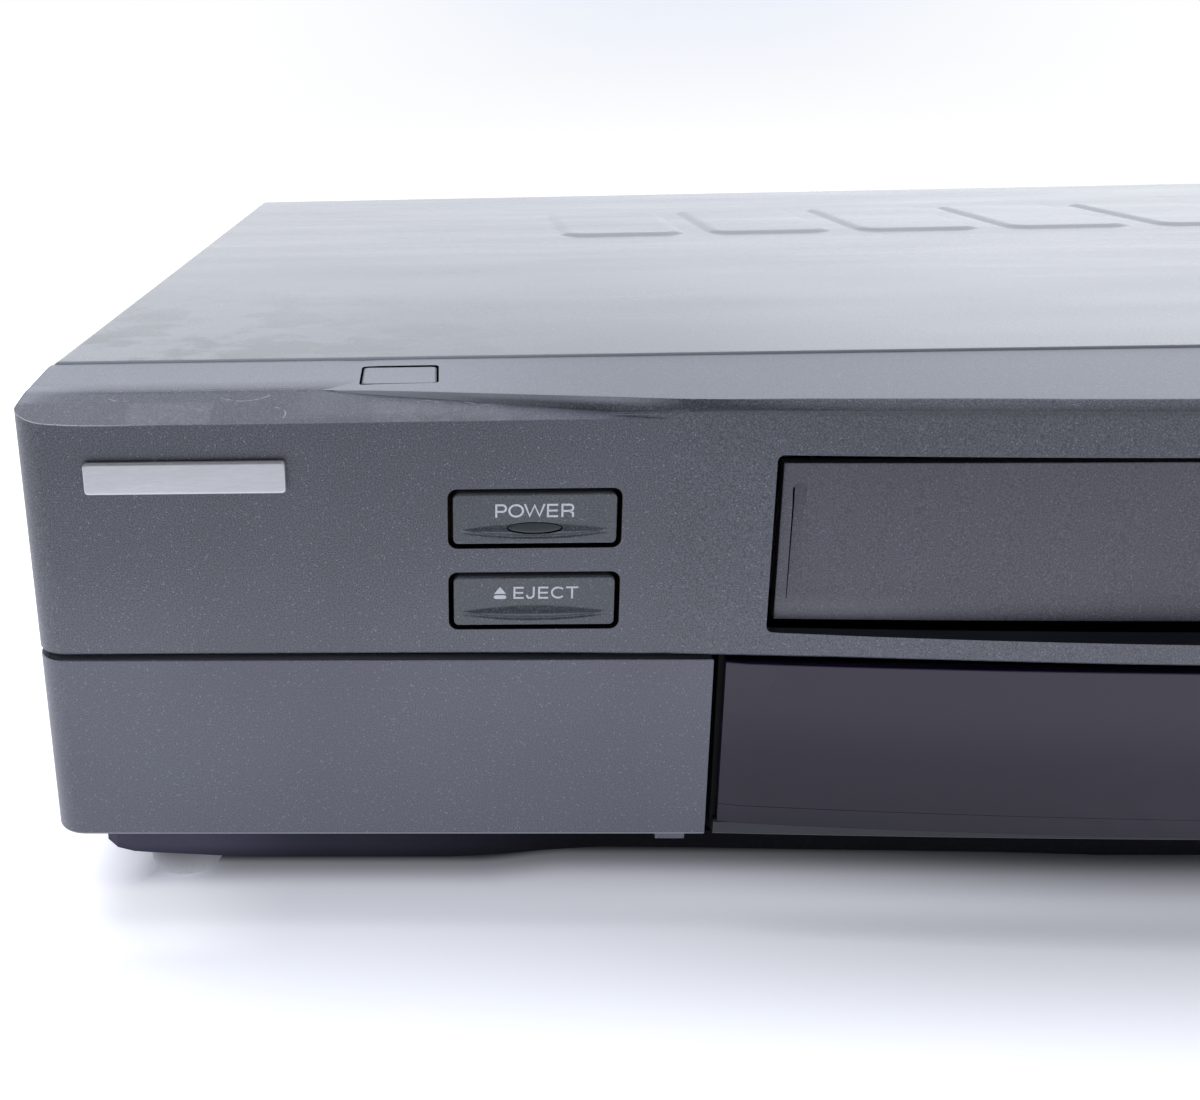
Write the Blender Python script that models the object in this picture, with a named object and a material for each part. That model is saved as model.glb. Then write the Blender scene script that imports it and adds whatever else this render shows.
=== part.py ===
"""Video cassette recorder, front loading, built as an assembly of separate pieces.

Lengths below are millimetres: X to the right seen from the front, V the distance
behind the flat of the front panel, Z the height above the table.  The finished
model is in metres, +Z up, with +Y to the rear and its origin on the table under
the middle of the recorder.
"""
import math

import bmesh
import bpy
from mathutils import Matrix, Vector

MM = 0.001

# ---- driving dimensions (mm) -------------------------------------------------
MID_V = 145.0            # the model's origin, behind the flat of the front panel
HALF_W = 215.0           # half the width over the front panel and the cover
TOP_Z = 92.0             # top of the cover
LEDGE_Z = 91.57          # top of the front panel's ledge
CREASE_Z = 87.6          # crisp line where the ledge's roll meets the flat front
SEAM_V = 24.35           # rear edge of the front panel
COVER_V0 = 24.65         # front edge of the cover
COVER_V1 = 288.4         # rear edge of the cover
COVER_T = 0.9
BOW_V = -6.2             # the bowed middle of the front stands proud by this
BOW_K = 1.0 / 2220.0     # bow: v = BOW_V + BOW_K * x * x
FASCIA_Z0 = 50.5         # lower edge of the upper fascia
BOWED_Z0 = 50.2          # lower edge of its bowed middle
DOOR_Z0, DOOR_Z1 = 18.25, 49.2
DOOR_X0, DOOR_X1 = -215.0, -109.1
WALL = 3.0               # wall of the front panel
CORNER_X = 209.7         # where the plan curve at each end of the front starts
CORNER_R = 5.3
SLOT_X = 101.9           # half width of the cassette opening
SLOT_Z1 = 82.3
FLAP_X = 100.1
FLAP_Z0, FLAP_Z1 = 55.05, 80.2
FLAP_T = 2.0
FLAP_AXIS = (5.2, 79.0)  # v, z
DOOR_AXIS = (3.0, 20.0)  # v, z
WINDOW_X = 107.35
WINDOW_Z0, WINDOW_Z1 = 21.0, 49.1
BTN_W, BTN_H = 24.5, 8.0
BTN_GAP = 0.65
BTN_R = 0.8
BTN_TRAVEL = 1.0
POWER_C = (-136.8, 72.4)
EJECT_C = (-136.8, 59.15)
PLAY_C = (136.8, 72.4)
STOP_C = (136.8, 59.15)
FORWARD_C = (168.8, 72.4)
REWIND_C = (168.8, 59.15)
RECORD_C = (136.8, 34.0)
PAUSE_C = (168.8, 34.0)
BADGE = (-203.95, -173.6, 77.1, 82.1)
PLUG = (-163.15, -150.85, 11.0, 20.4)
PLINTH_Z0, PLINTH_V0, PLINTH_X = 9.9, 6.0, 209.5
FOOT_R, FOOT_X, FOOT_VS = 6.6, 197.7, (20.7, 262.0)
DECK_Z = 32.2            # top of the mechanism's deck plate
HOLD_X, HOLD_V0, HOLD_V1 = 96.2, 32.0, 138.0
HOLD_Z0, HOLD_Z1 = 54.0, 82.8
REEL_X, REEL_V = 46.0, 144.0
DRUM_R, DRUM_V, DRUM_Z, DRUM_TILT = 31.0, 245.0, 36.2, 6.0
CAPSTAN = (60.0, 222.0)
PINCH_PIVOT = (88.0, 226.0)
PINCH_ROLLER = (70.5, 212.0)
GUIDE_FROM, GUIDE_TO = (38.0, 198.0), (46.0, 240.0)

for old in list(bpy.data.objects):
    bpy.data.objects.remove(old, do_unlink=True)

parts = bpy.data.collections.new("video_cassette_recorder")
cutters = bpy.data.collections.new("cutters")
bpy.context.scene.collection.children.link(parts)
bpy.context.scene.collection.children.link(cutters)

PAINT = ("dark_grey_paint", (0.085, 0.092, 0.108), 0.42, 0.25)
COVERP = ("cover_paint", (0.16, 0.165, 0.18), 0.5, 0.2)
BLACK = ("black_plastic", (0.02, 0.021, 0.023), 0.5, 0.0)
SMOKE = ("smoked_window", (0.03, 0.03, 0.035), 0.1, 0.0)
STEEL = ("zinc_steel", (0.55, 0.56, 0.55), 0.35, 1.0)
BRIGHT = ("bright_metal", (0.75, 0.76, 0.77), 0.18, 1.0)
RUBBER = ("grey_rubber", (0.10, 0.10, 0.10), 0.8, 0.0)
BOARD = ("circuit_board", (0.23, 0.16, 0.07), 0.5, 0.0)
CREAM = ("white_nylon", (0.75, 0.74, 0.7), 0.4, 0.0)
BADGEM = ("satin_badge", (0.7, 0.71, 0.73), 0.3, 0.9)
SCREW = ("black_screw", (0.03, 0.03, 0.03), 0.35, 0.8)


def finish_of(node, kind):
    """Each node has a material of its own, of the kind given."""
    kind_name, rgb, rough, metal = kind
    mat = bpy.data.materials.new(node + "_" + kind_name)
    mat.use_nodes = True
    shader = mat.node_tree.nodes["Principled BSDF"]
    shader.inputs["Base Color"].default_value = (*rgb, 1.0)
    shader.inputs["Roughness"].default_value = rough
    shader.inputs["Metallic"].default_value = metal
    return mat


def bow(x):
    """How far in front of the flat (negative) the bowed middle is at x."""
    return BOW_V + BOW_K * x * x


def flap_v(x):
    """v of the cassette flap's face, which bows a little less than the panel round it."""
    return -0.70 + x * x / 4370.0


def between(value, table):
    """Value read from a table of (where, what) pairs, straight between them."""
    for (a, fa), (b, fb) in zip(table, table[1:]):
        if value <= b:
            return fa + (fb - fa) * (value - a) / (b - a)
    return table[-1][1]


def place(bm, name, cutter=False):
    """A new object from a bmesh whose points are x, v, z in mm."""
    bmesh.ops.recalc_face_normals(bm, faces=bm.faces)
    mesh = bpy.data.meshes.new(name)
    bm.to_mesh(mesh)
    bm.free()
    mesh.transform(Matrix.Diagonal((MM, MM, MM, 1)) @ Matrix.Translation((0, -MID_V, 0)))
    ob = bpy.data.objects.new(name, mesh)
    if cutter:
        cutters.objects.link(ob)
        ob.hide_render = True
        ob.display_type = "WIRE"
    else:
        parts.objects.link(ob)
    return ob


def box(name, x0, x1, v0, v1, z0, z1, cutter=False):
    bm = bmesh.new()
    bmesh.ops.create_cube(bm, size=1.0)
    bmesh.ops.scale(bm, vec=(x1 - x0, v1 - v0, z1 - z0), verts=bm.verts)
    bmesh.ops.translate(bm, vec=((x0 + x1) / 2, (v0 + v1) / 2, (z0 + z1) / 2), verts=bm.verts)
    return place(bm, name, cutter)


def rod(name, x, v, z, r, length, axis="Z", sides=20, cutter=False, r2=None):
    """A cylinder (or cone) that starts at x, v, z and runs along +axis."""
    bm = bmesh.new()
    bmesh.ops.create_cone(bm, cap_ends=True, segments=sides, radius1=r,
                          radius2=r if r2 is None else r2, depth=length)
    bmesh.ops.translate(bm, vec=(0, 0, length / 2), verts=bm.verts)
    turn = {"Z": Matrix(), "X": Matrix.Rotation(math.pi / 2, 4, "Y"),
            "Y": Matrix.Rotation(-math.pi / 2, 4, "X")}[axis]
    bmesh.ops.transform(bm, matrix=Matrix.Translation((x, v, z)) @ turn, verts=bm.verts)
    return place(bm, name, cutter)


def outline(name, loops, lo, hi, plane="XV", cutter=False):
    """A flat outline (and its holes) extruded from lo to hi across its plane."""
    curve = bpy.data.curves.new(name, "CURVE")
    curve.dimensions = "2D"
    curve.fill_mode = "BOTH"
    curve.extrude = (hi - lo) / 2
    for loop in loops:
        spline = curve.splines.new("POLY")
        spline.points.add(len(loop) - 1)
        for point, (a, b) in zip(spline.points, loop):
            point.co = (a, b, 0, 1)
        spline.use_cyclic_u = True
    holder = bpy.data.objects.new(name + "_outline", curve)
    bpy.context.scene.collection.objects.link(holder)
    bpy.context.view_layer.update()
    evaluated = holder.evaluated_get(bpy.context.evaluated_depsgraph_get())
    mesh = bpy.data.meshes.new_from_object(evaluated)
    bpy.data.objects.remove(holder, do_unlink=True)
    bpy.data.curves.remove(curve)
    bm = bmesh.new()
    bm.from_mesh(mesh)
    bpy.data.meshes.remove(mesh)
    bmesh.ops.remove_doubles(bm, verts=bm.verts, dist=0.001)
    bmesh.ops.translate(bm, vec=(0, 0, (lo + hi) / 2), verts=bm.verts)
    turn = {
        "XV": Matrix(),
        "XZ": Matrix(((1, 0, 0, 0), (0, 0, 1, 0), (0, 1, 0, 0), (0, 0, 0, 1))),
        "VZ": Matrix(((0, 0, 1, 0), (1, 0, 0, 0), (0, 1, 0, 0), (0, 0, 0, 1))),
    }[plane]
    bmesh.ops.transform(bm, matrix=turn, verts=bm.verts)
    return place(bm, name, cutter)


def turned(name, x, v, profile, sides=24, cutter=False):
    """A turned piece: profile of (radius, z) down its outer side, top to bottom."""
    bm = bmesh.new()
    pts = [(0.0, profile[0][1])] + list(profile) + [(0.0, profile[-1][1])]
    verts = [bm.verts.new((r, 0.0, z)) for r, z in pts]
    edges = [bm.edges.new((a, b)) for a, b in zip(verts, verts[1:])]
    bmesh.ops.spin(bm, geom=verts + edges, cent=(0, 0, 0), axis=(0, 0, 1), dvec=(0, 0, 0),
                   angle=2 * math.pi, steps=sides, use_merge=True)
    bmesh.ops.remove_doubles(bm, verts=bm.verts, dist=0.002)
    bmesh.ops.translate(bm, vec=(x, v, 0), verts=bm.verts)
    return place(bm, name, cutter)


def loft(name, sections, cutter=False):
    """Skins equal closed loops of (x, v, z)."""
    bm = bmesh.new()
    rows = [[bm.verts.new(p) for p in loop] for loop in sections]
    n = len(rows[0])
    for a, b in zip(rows, rows[1:]):
        for k in range(n):
            bm.faces.new((a[k], a[(k + 1) % n], b[(k + 1) % n], b[k]))
    bm.faces.new(list(reversed(rows[0])))
    bm.faces.new(rows[-1])
    return place(bm, name, cutter)


def rounded(cx, cz, w, h, r, n=3):
    """A rectangle with rounded corners, anticlockwise."""
    out = []
    for sx, sz, a0 in ((1, -1, -90), (1, 1, 0), (-1, 1, 90), (-1, -1, 180)):
        for k in range(n + 1):
            a = math.radians(a0 + 90 * k / n)
            out.append((cx + sx * (w / 2 - r) + r * math.cos(a), cz + sz * (h / 2 - r) + r * math.sin(a)))
    return out


def circle(cx, cz, r, n=16):
    return [(cx + r * math.cos(2 * math.pi * k / n), cz + r * math.sin(2 * math.pi * k / n)) for k in range(n)]


def combine(base, others, how):
    """Boolean modifiers, one for each of the others, which become guides."""
    for other in others:
        if other.name in parts.objects:
            parts.objects.unlink(other)
            cutters.objects.link(other)
            other.hide_render = True
            other.display_type = "WIRE"
        mod = base.modifiers.new(how.lower() + "_" + other.name, "BOOLEAN")
        mod.operation = how
        mod.object = other
        mod.solver = "EXACT"
    return base


def cut(base, *others):
    return combine(base, others, "DIFFERENCE")


def join(base, *others):
    return combine(base, others, "UNION")


def keep(base, *others):
    return combine(base, others, "INTERSECT")


def done(ob, kind, smooth=False):
    ob.data.materials.clear()
    ob.data.materials.append(finish_of(ob.name, kind))
    if smooth:
        ob.data.shade_smooth()
        ob.data.set_sharp_from_angle(angle=math.radians(40))
    return ob


def hang(ob, name, x, v, z, tilt=0.0):
    """Put an empty on a joint's axis and make the piece its child."""
    pivot = bpy.data.objects.get(name)
    if pivot is None:
        pivot = bpy.data.objects.new(name, None)
        pivot.location = (x * MM, (v - MID_V) * MM, z * MM)
        pivot.rotation_euler = (math.radians(tilt), 0, 0)
        pivot.empty_display_size = 0.01
        parts.objects.link(pivot)
        bpy.context.view_layer.update()
    ob.parent = pivot
    ob.matrix_parent_inverse = pivot.matrix_world.inverted()
    return ob


# ---- plan curves of the front ------------------------------------------------
def end_curve(sign, n=6):
    """The rounded plan corner at one end, from the flat to the side."""
    pts = []
    for k in range(n + 1):
        a = 0.5 * math.pi * k / n
        pts.append((sign * (CORNER_X + CORNER_R * math.sin(a)), CORNER_R - CORNER_R * math.cos(a)))
    return pts


front_plan = list(reversed(end_curve(-1))) + end_curve(1)
full_plan = front_plan + [(HALF_W, SEAM_V), (-HALF_W, SEAM_V)]

# ---- front panel: upper fascia -----------------------------------------------
roll = [(0.0, FASCIA_Z0), (18.3, FASCIA_Z0), (18.3, 56.0), (SEAM_V, 56.0), (SEAM_V, LEDGE_Z), (23.0, LEDGE_Z), (22.1, 91.545),
        (21.3, 91.485), (14.2, 90.88), (13.3, 90.8), (11.9, 90.62), (10.5, 90.385), (9.1, 90.066), (0.0, CREASE_Z)]
front_panel = outline("front_panel", [roll], -HALF_W, HALF_W, "VZ")
keep(front_panel, outline("fascia_plan", [full_plan], 40.0, 100.0, "XV", True))
# the bowed middle: its face, a chamfer that sets back where it dives into the slanted band, and its own sloping top
CHAMFER_RUN = [(0.0, 1.6), (60.0, 1.66), (73.0, 2.0), (86.7, 1.7), (100.0, 1.3), (107.0, 0.7), (114.0, 0.5), (118.0, 0.65),
               (122.0, 1.0), (127.0, 1.4), (133.0, 1.7), (142.0, 2.05), (149.0, 2.4), (164.0, 2.6), (172.0, 3.1)]
CHAMFER_SET = [(0.0, 0.0), (112.0, 0.0), (118.0, 0.4), (122.0, 0.8), (127.0, 1.25), (133.0, 1.5), (142.0, 1.85), (149.0, 2.2),
               (164.0, 2.4), (172.0, 2.9)]
sections = []
for k in range(33):
    x = -172.0 + 344.0 * k / 32.0
    b, run, back_in = bow(x), between(abs(x), CHAMFER_RUN), between(abs(x), CHAMFER_SET)
    dip = between(abs(x), [(0.0, 0.0), (160.0, 0.0), (172.0, 0.3)])
    low = BOWED_Z0 if abs(x) < 135.0 else FASCIA_Z0 + 0.01
    start = 88.72 - 0.9 * min(1.0, back_in / 1.2)
    sections.append([(x, b, low), (x, b, start), (x, b + back_in + 0.02, start + 0.34), (x, b + run, 90.41 - dip),
                     (x, 22.0, 91.53 - dip), (x, 23.0, 91.56 - dip), (x, SEAM_V - 0.02, 91.56 - dip), (x, SEAM_V - 0.02, 70.0),
                     (x, 12.2, 70.0), (x, 12.2, low)])
join(front_panel, loft("bowed_middle", sections, True))
hollow_half = [(209.0, 3.0), (210.6, 3.5), (211.6, 4.6), (212.0, 6.0), (212.0, 30.0)]
cut(front_panel, outline("fascia_hollow", [[(-x, v) for x, v in reversed(hollow_half)] + hollow_half], 53.0, 87.9, "XV", True))

# lower part: window ring, recess behind the door, fixed right-hand panel
ring = outline("window_ring", [[(-108.05, 18.6), (108.05, 18.6), (108.05, 54.0), (-108.05, 54.0)],
                               [(-98.0, 25.0), (-98.0, 45.0), (98.0, 45.0), (98.0, 25.0)]], 1.3, 3.3, "XZ", True)
lip_pts = [(x, -2.05 + 2.1 * (x / 106.3) ** 2) for x in [(-107.75 + 215.5 * k / 16.0) for k in range(17)]]
sill = outline("window_strip", [lip_pts + [(107.75, 2.0), (-107.75, 2.0)]], DOOR_Z0, 20.7, "XV", True)
lip = box("fascia_lip", -211.0, 211.0, 2.0, 18.0, 50.6, 53.2, True)
recess_back = box("recess_back", -212.6, -104.0, 16.0, 18.0, 18.6, 52.0, True)
recess_floor = box("recess_floor", -212.6, -104.0, 7.0, 17.0, 18.6, 20.0, True)
recess_side = box("recess_side", -HALF_W, -212.2, 6.75, SEAM_V, 18.6, 58.0, True)
right_link = box("right_link", 212.6, 214.2, 7.4, SEAM_V - 0.2, 40.0, 60.0, True)
divider = box("divider", -108.1, -105.7, 1.5, 17.0, 18.6, 52.0, True)
right_plan = [p for p in front_plan if p[0] > 0]
right_outer = [(109.1, 0.0)] + right_plan + [(HALF_W, SEAM_V), (212.4, SEAM_V), (212.4, 6.4), (211.6, 4.4), (210.4, 3.1), (208.6, 2.6), (109.1, 2.6)]
right_panel = outline("right_panel", [right_outer], DOOR_Z0, DOOR_Z1, "XV", True)
right_back = box("right_back", 105.9, 212.9, 2.2, 4.6, 18.6, 53.0, True)
join(front_panel, ring, sill, lip, recess_back, recess_floor, recess_side, divider, right_panel, right_back,
     right_link)

# cassette opening, with a sill that falls towards the front
opening = box("slot_opening", -SLOT_X, SLOT_X, -9.5, 12.0, 55.23, SLOT_Z1, True)
fall = outline("sill_fall", [[(-9.5, 53.159), (2.2, 55.265), (2.2, 60.0), (-9.5, 60.0)]], -SLOT_X, SLOT_X, "VZ", True)
gap_line = [(x, flap_v(x) - 1.9) for x in [-SLOT_X + 2 * SLOT_X * k / 16.0 for k in range(17)]]
gap = outline("sill_gap", [gap_line + [(SLOT_X, 12.0), (-SLOT_X, 12.0)]], 51.9, 58.0, "XV", True)
cut(front_panel, opening, fall, gap)
for side in (-1, 1):
    boss = outline("flap_boss_" + ("left" if side < 0 else "right"),
                   [[(2.6, 76.0), (8.6, 76.0), (8.6, 83.0), (2.6, 83.0)], circle(*FLAP_AXIS, 1.35, 10)],
                   *sorted((side * 101.0, side * 103.0)), "VZ", True)
    join(front_panel, boss)
for label, (cx, cz) in (("power", POWER_C), ("eject", EJECT_C), ("play", PLAY_C), ("stop", STOP_C),
                        ("forward", FORWARD_C), ("rewind", REWIND_C), ("record", RECORD_C), ("pause", PAUSE_C)):
    hole = outline(label + "_hole", [rounded(cx, cz, BTN_W + 2 * BTN_GAP, BTN_H + 2 * BTN_GAP, BTN_R + 0.3, 2)],
                   -6.0, 12.0, "XZ", True)
    cut(front_panel, hole)
cut(front_panel, box("plug_hole", PLUG[0], PLUG[1], PLUG[2], PLUG[3], 85.0, 95.0, True))
JACKS = (("front_video_jack", -190.0), ("front_audio_left_jack", -168.0), ("front_audio_right_jack", -146.0))
for label, x in JACKS:
    cut(front_panel, rod(label + "_hole", x, 12.0, 34.5, 6.3, 10.0, "Y", 16, True))
done(front_panel, PAINT)

# ---- trim on the front -------------------------------------------------------
badge = done(box("badge_plate", BADGE[0], BADGE[1], -1.2, -0.3, BADGE[2], BADGE[3]), BADGEM)
ledge_plug = outline("ledge_plug", [[(PLUG[2] + 0.3, 88.2), (PLUG[3] - 0.3, 88.2), (PLUG[3] - 0.3, 91.25), (PLUG[2] + 0.3, 90.63)]],
                     PLUG[0] + 0.3, PLUG[1] - 0.3, "VZ")
done(ledge_plug, PAINT)


def button(name, centre, with_lens=False):
    cx, cz = centre
    face = outline(name, [rounded(cx, cz, BTN_W, BTN_H, BTN_R, 2)], -0.2, 8.0, "XZ")
    stem = box(name + "_stem", cx - 3.0, cx + 3.0, 7.0, 15.5, cz - 2.0, cz + 2.0, True)
    join(face, stem)
    if with_lens:
        loop = [(cx + 4.3 * math.cos(a), cz - 1.3 + 1.05 * math.sin(a))
                for a in [2 * math.pi * k / 16 for k in range(16)]]
        cut(face, outline(name + "_eye", [loop], -3.0, 4.0, "XZ", True))
    done(face, PAINT)
    return hang(face, name + "_axis", cx, 8.0, cz)


power_button = button("power_button", POWER_C, True)
lens_loop = [(POWER_C[0] + 4.0 * math.cos(a), POWER_C[1] - 1.3 + 0.75 * math.sin(a))
             for a in [2 * math.pi * k / 16 for k in range(16)]]
power_lens = done(outline("power_lens", [lens_loop], -0.3, 3.6, "XZ"), SMOKE)
hang(power_lens, "power_button_axis", 0, 0, 0)
for label, centre in (("eject_button", EJECT_C), ("play_button", PLAY_C), ("stop_button", STOP_C),
                      ("forward_button", FORWARD_C), ("rewind_button", REWIND_C),
                      ("record_button", RECORD_C), ("pause_button", PAUSE_C)):
    button(label, centre)

# ---- cassette flap and its spring ---------------------------------------------
flap_x = [-FLAP_X + 2 * FLAP_X * k / 16.0 for k in range(17)]
flap = outline("cassette_flap", [[(x, flap_v(x)) for x in flap_x] + [(x, flap_v(x) + FLAP_T) for x in reversed(flap_x)]],
               FLAP_Z0, FLAP_Z1, "XV")
join(flap,
     box("flap_ear_left", -97.7, -95.4, 3.0, 6.8, 76.4, FLAP_Z1 - 0.2, True),
     box("flap_ear_right", 95.4, 97.7, 3.0, 6.8, 76.4, FLAP_Z1 - 0.2, True),
     rod("flap_pin_left", -108.0, FLAP_AXIS[0], FLAP_AXIS[1], 1.0, 12.0, "X", 10, True),
     rod("flap_pin_right", 96.0, FLAP_AXIS[0], FLAP_AXIS[1], 1.0, 6.4, "X", 10, True))
done(flap, PAINT)
hang(flap, "flap_axis", 0, FLAP_AXIS[0], FLAP_AXIS[1])


def wire(name, points, radius, kind, resolution=1):
    """A bent wire: a poly curve with a round section and closed ends."""
    curve = bpy.data.curves.new(name, "CURVE")
    curve.dimensions = "3D"
    curve.bevel_depth = radius * MM
    curve.bevel_resolution = resolution
    curve.use_fill_caps = True
    spline = curve.splines.new("POLY")
    spline.points.add(len(points) - 1)
    for point, (x, v, z) in zip(spline.points, points):
        point.co = (x * MM, (v - MID_V) * MM, z * MM, 1)
    ob = bpy.data.objects.new(name, curve)
    parts.objects.link(ob)
    curve.materials.append(finish_of(name, kind))
    return ob


fv, fz = FLAP_AXIS
coil = [(-103.7, fv, fz - 5.0), (-103.7, fv + 1.4, fz - 2.4)]
for k in range(28):
    a = math.radians(20.0 - 40.0 * k)
    coil.append((-103.9 - 0.085 * k, fv + 1.75 * math.cos(a), fz + 1.75 * math.sin(a)))
coil += [(-106.3, fv + 3.8, fz + 1.6), (-106.3, fv + 6.8, fz + 2.4)]
wire("flap_spring", coil, 0.22, BRIGHT)

# ---- jack door ----------------------------------------------------------------
left_plan = [p for p in front_plan if p[0] < 0]
inner = [(-109.1, 2.2), (-208.4, 2.2), (-210.0, 2.6), (-211.2, 3.4), (-212.2, 5.0), (-212.6, 6.1)]
door = outline("jack_door", [[(-109.1, 0.0)] + list(reversed(left_plan)) + [(-HALF_W, 6.1)] + list(reversed(inner))],
               DOOR_Z0, DOOR_Z1, "XV")
join(door, box("door_tab", -116.75, -112.1, 0.9, 4.0, 16.9, 19.4, True),
     box("door_ear", -200.0, -196.0, 1.6, 4.6, 19.0, 22.0, True))
done(door, PAINT)
hang(door, "door_axis", (DOOR_X0 + DOOR_X1) / 2, DOOR_AXIS[0], DOOR_AXIS[1])

# ---- window and display --------------------------------------------------------
win_x = [(-WINDOW_X + 2 * WINDOW_X * k / 16.0) for k in range(17)]
window = outline("display_window", [[(x, bow(x)) for x in win_x] + [(x, bow(x) + 2.0) for x in reversed(win_x)]],
                 WINDOW_Z0, WINDOW_Z1, "XV")
done(window, SMOKE)
display = box("display_module", -62.0, 62.0, 8.0, 17.6, 27.0, 45.0)
join(display, box("display_base", -66.0, 66.0, 15.5, 18.6, 26.0, 46.0, True))
done(display, SMOKE)

# ---- front jacks and switch board ------------------------------------------------
for label, x in JACKS:
    jack = rod(label, x, 10.4, 34.5, 4.2, 8.2, "Y", 16)
    join(jack, rod(label + "_flange", x, 13.0, 34.5, 5.8, 5.6, "Y", 16, True))
    cut(jack, rod(label + "_bore", x, 8.0, 34.5, 2.2, 9.0, "Y", 10, True))
    done(jack, BRIGHT, True)

board = outline("front_switch_board", [[(-205.0, 24.0), (205.0, 24.0), (205.0, 84.0), (104.8, 84.0), (104.8, 49.8),
                                        (-104.8, 49.8), (-104.8, 84.0), (-205.0, 84.0)]], 19.0, 20.6, "XZ")
for label, (cx, cz) in (("power", POWER_C), ("eject", EJECT_C), ("play", PLAY_C), ("stop", STOP_C),
                        ("forward", FORWARD_C), ("rewind", REWIND_C), ("record", RECORD_C), ("pause", PAUSE_C)):
    join(board, box(label + "_switch", cx - 3.0, cx + 3.0, 17.0, 19.4, cz - 3.0, cz + 3.0, True))
done(board, BOARD)

# ---- cover -----------------------------------------------------------------------
def arch(half, top, r, foot, n=3):
    pts = [(-half, foot)]
    for k in range(n + 1):
        a = math.radians(180 - 90 * k / n)
        pts.append((-half + r + r * math.cos(a), top - r + r * math.sin(a)))
    return pts + [(-x, z) for x, z in reversed(pts)]


cover = outline("top_cover", [arch(HALF_W, TOP_Z, 1.65, 14.0) +
                              list(reversed(arch(HALF_W - COVER_T, TOP_Z - COVER_T, 0.85, 14.0)))],
                COVER_V0, COVER_V1, "XZ")
PADS = 6
for k in range(PADS):
    cx = (k - (PADS - 1) / 2) * 40.0
    pad = outline("pad_%d" % k, [rounded(cx, 202.5, 33.0, 58.0, 5.0, 2)], TOP_Z - 0.4, TOP_Z + 0.6, "XV", True)
    join(cover, pad)
SIDE_SCREWS = (("left_front", -1, 62.0), ("left_rear", -1, 262.0), ("right_front", 1, 62.0), ("right_rear", 1, 262.0))
for label, side, v in SIDE_SCREWS:
    cut(cover, rod("screw_hole_" + label, side * 215.0 - 4.0, v, 30.0, 2.5, 8.0, "X", 10, True))
vents = []
for side in (-1, 1):
    for k in range(8):
        v = 176.0 + 9.0 * k
        vents.append(box("side_vent_%d_%d" % (side, k), side * 215.0 - 3.0, side * 215.0 + 3.0, v, v + 3.0, 62.0, 80.0, True))
cut(cover, *vents)
done(cover, COVERP)

# ---- chassis, bottom plate, rear panel ---------------------------------------------
base_plan = []
for sx, a0 in ((-1, 180), (1, 270)):
    for k in range(4):
        a = math.radians(a0 + 30 * k)
        base_plan.append((sx * (PLINTH_X - 6.0) + 6.0 * math.cos(a), PLINTH_V0 + 6.0 + 6.0 * math.sin(a)))
base_plan += [(PLINTH_X, 26.2), (213.2, 26.9), (213.2, 284.2), (-213.2, 284.2), (-213.2, 27.0), (-PLINTH_X, 26.3)]
chassis = outline("chassis_frame", [base_plan, [(-196.0, 40.0), (-196.0, 276.0), (196.0, 276.0), (196.0, 40.0)]],
                  PLINTH_Z0, 15.0, "XV")
wall_x = PLINTH_X - 0.4
wall_plan = [(x * wall_x / PLINTH_X, v + 0.9) for x, v in base_plan[:8]]
inner_wall = [(x * (wall_x - 2.5) / PLINTH_X, v + 3.2) for x, v in base_plan[:8]]
join(chassis,
     outline("plinth_wall", [wall_plan + [(wall_x, 20.0), (wall_x - 2.5, 20.0)] + list(reversed(inner_wall)) +
                             [(2.5 - wall_x, 20.0), (-wall_x, 20.0)]], 14.0, 17.8, "XV", True),
     box("side_wall_left", -213.0, -210.6, 27.0, 284.0, 12.0, 44.0, True),
     box("side_wall_right", 210.6, 213.0, 27.0, 284.0, 12.0, 44.0, True),
     box("front_rib", -211.6, 211.6, 27.4, 29.8, 12.5, 22.0, True))
# its lower edge steps up twice on each side of the middle
edge = [(43.0, 10.34), (59.0, 10.87), (75.0, 11.17), (92.0, 11.4), (108.0, 11.75), (125.0, 11.96), (134.0, 11.3), (141.6, 10.46),
        (150.0, 9.95), (184.0, 9.92), (201.0, 10.83), (211.0, 11.6)]
relief = outline("plinth_relief", [[(-x, z) for x, z in reversed(edge)] + edge + [(211.0, 8.0), (-211.0, 8.0)]], 2.0, 28.0, "XZ", True)
cut(chassis, relief)
for label, side, v in SIDE_SCREWS:
    cut(chassis, rod("chassis_hole_" + label, side * 212.0 - 5.0, v, 30.0, 1.9, 10.0, "X", 10, True))
done(chassis, BLACK)

bottom = box("bottom_plate", -200.0, 200.0, 34.0, 281.0, 15.3, 16.2)
slots = []
for k in range(10):
    for half in (-1, 1):
        x = half * (70.0 + 12.0 * k)
        slots.append(box("bottom_vent_%d_%d" % (half, k), x - 1.75, x + 1.75, 190.0, 240.0, 14.0, 18.0, True))
cut(bottom, *slots)
done(bottom, STEEL)

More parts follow.
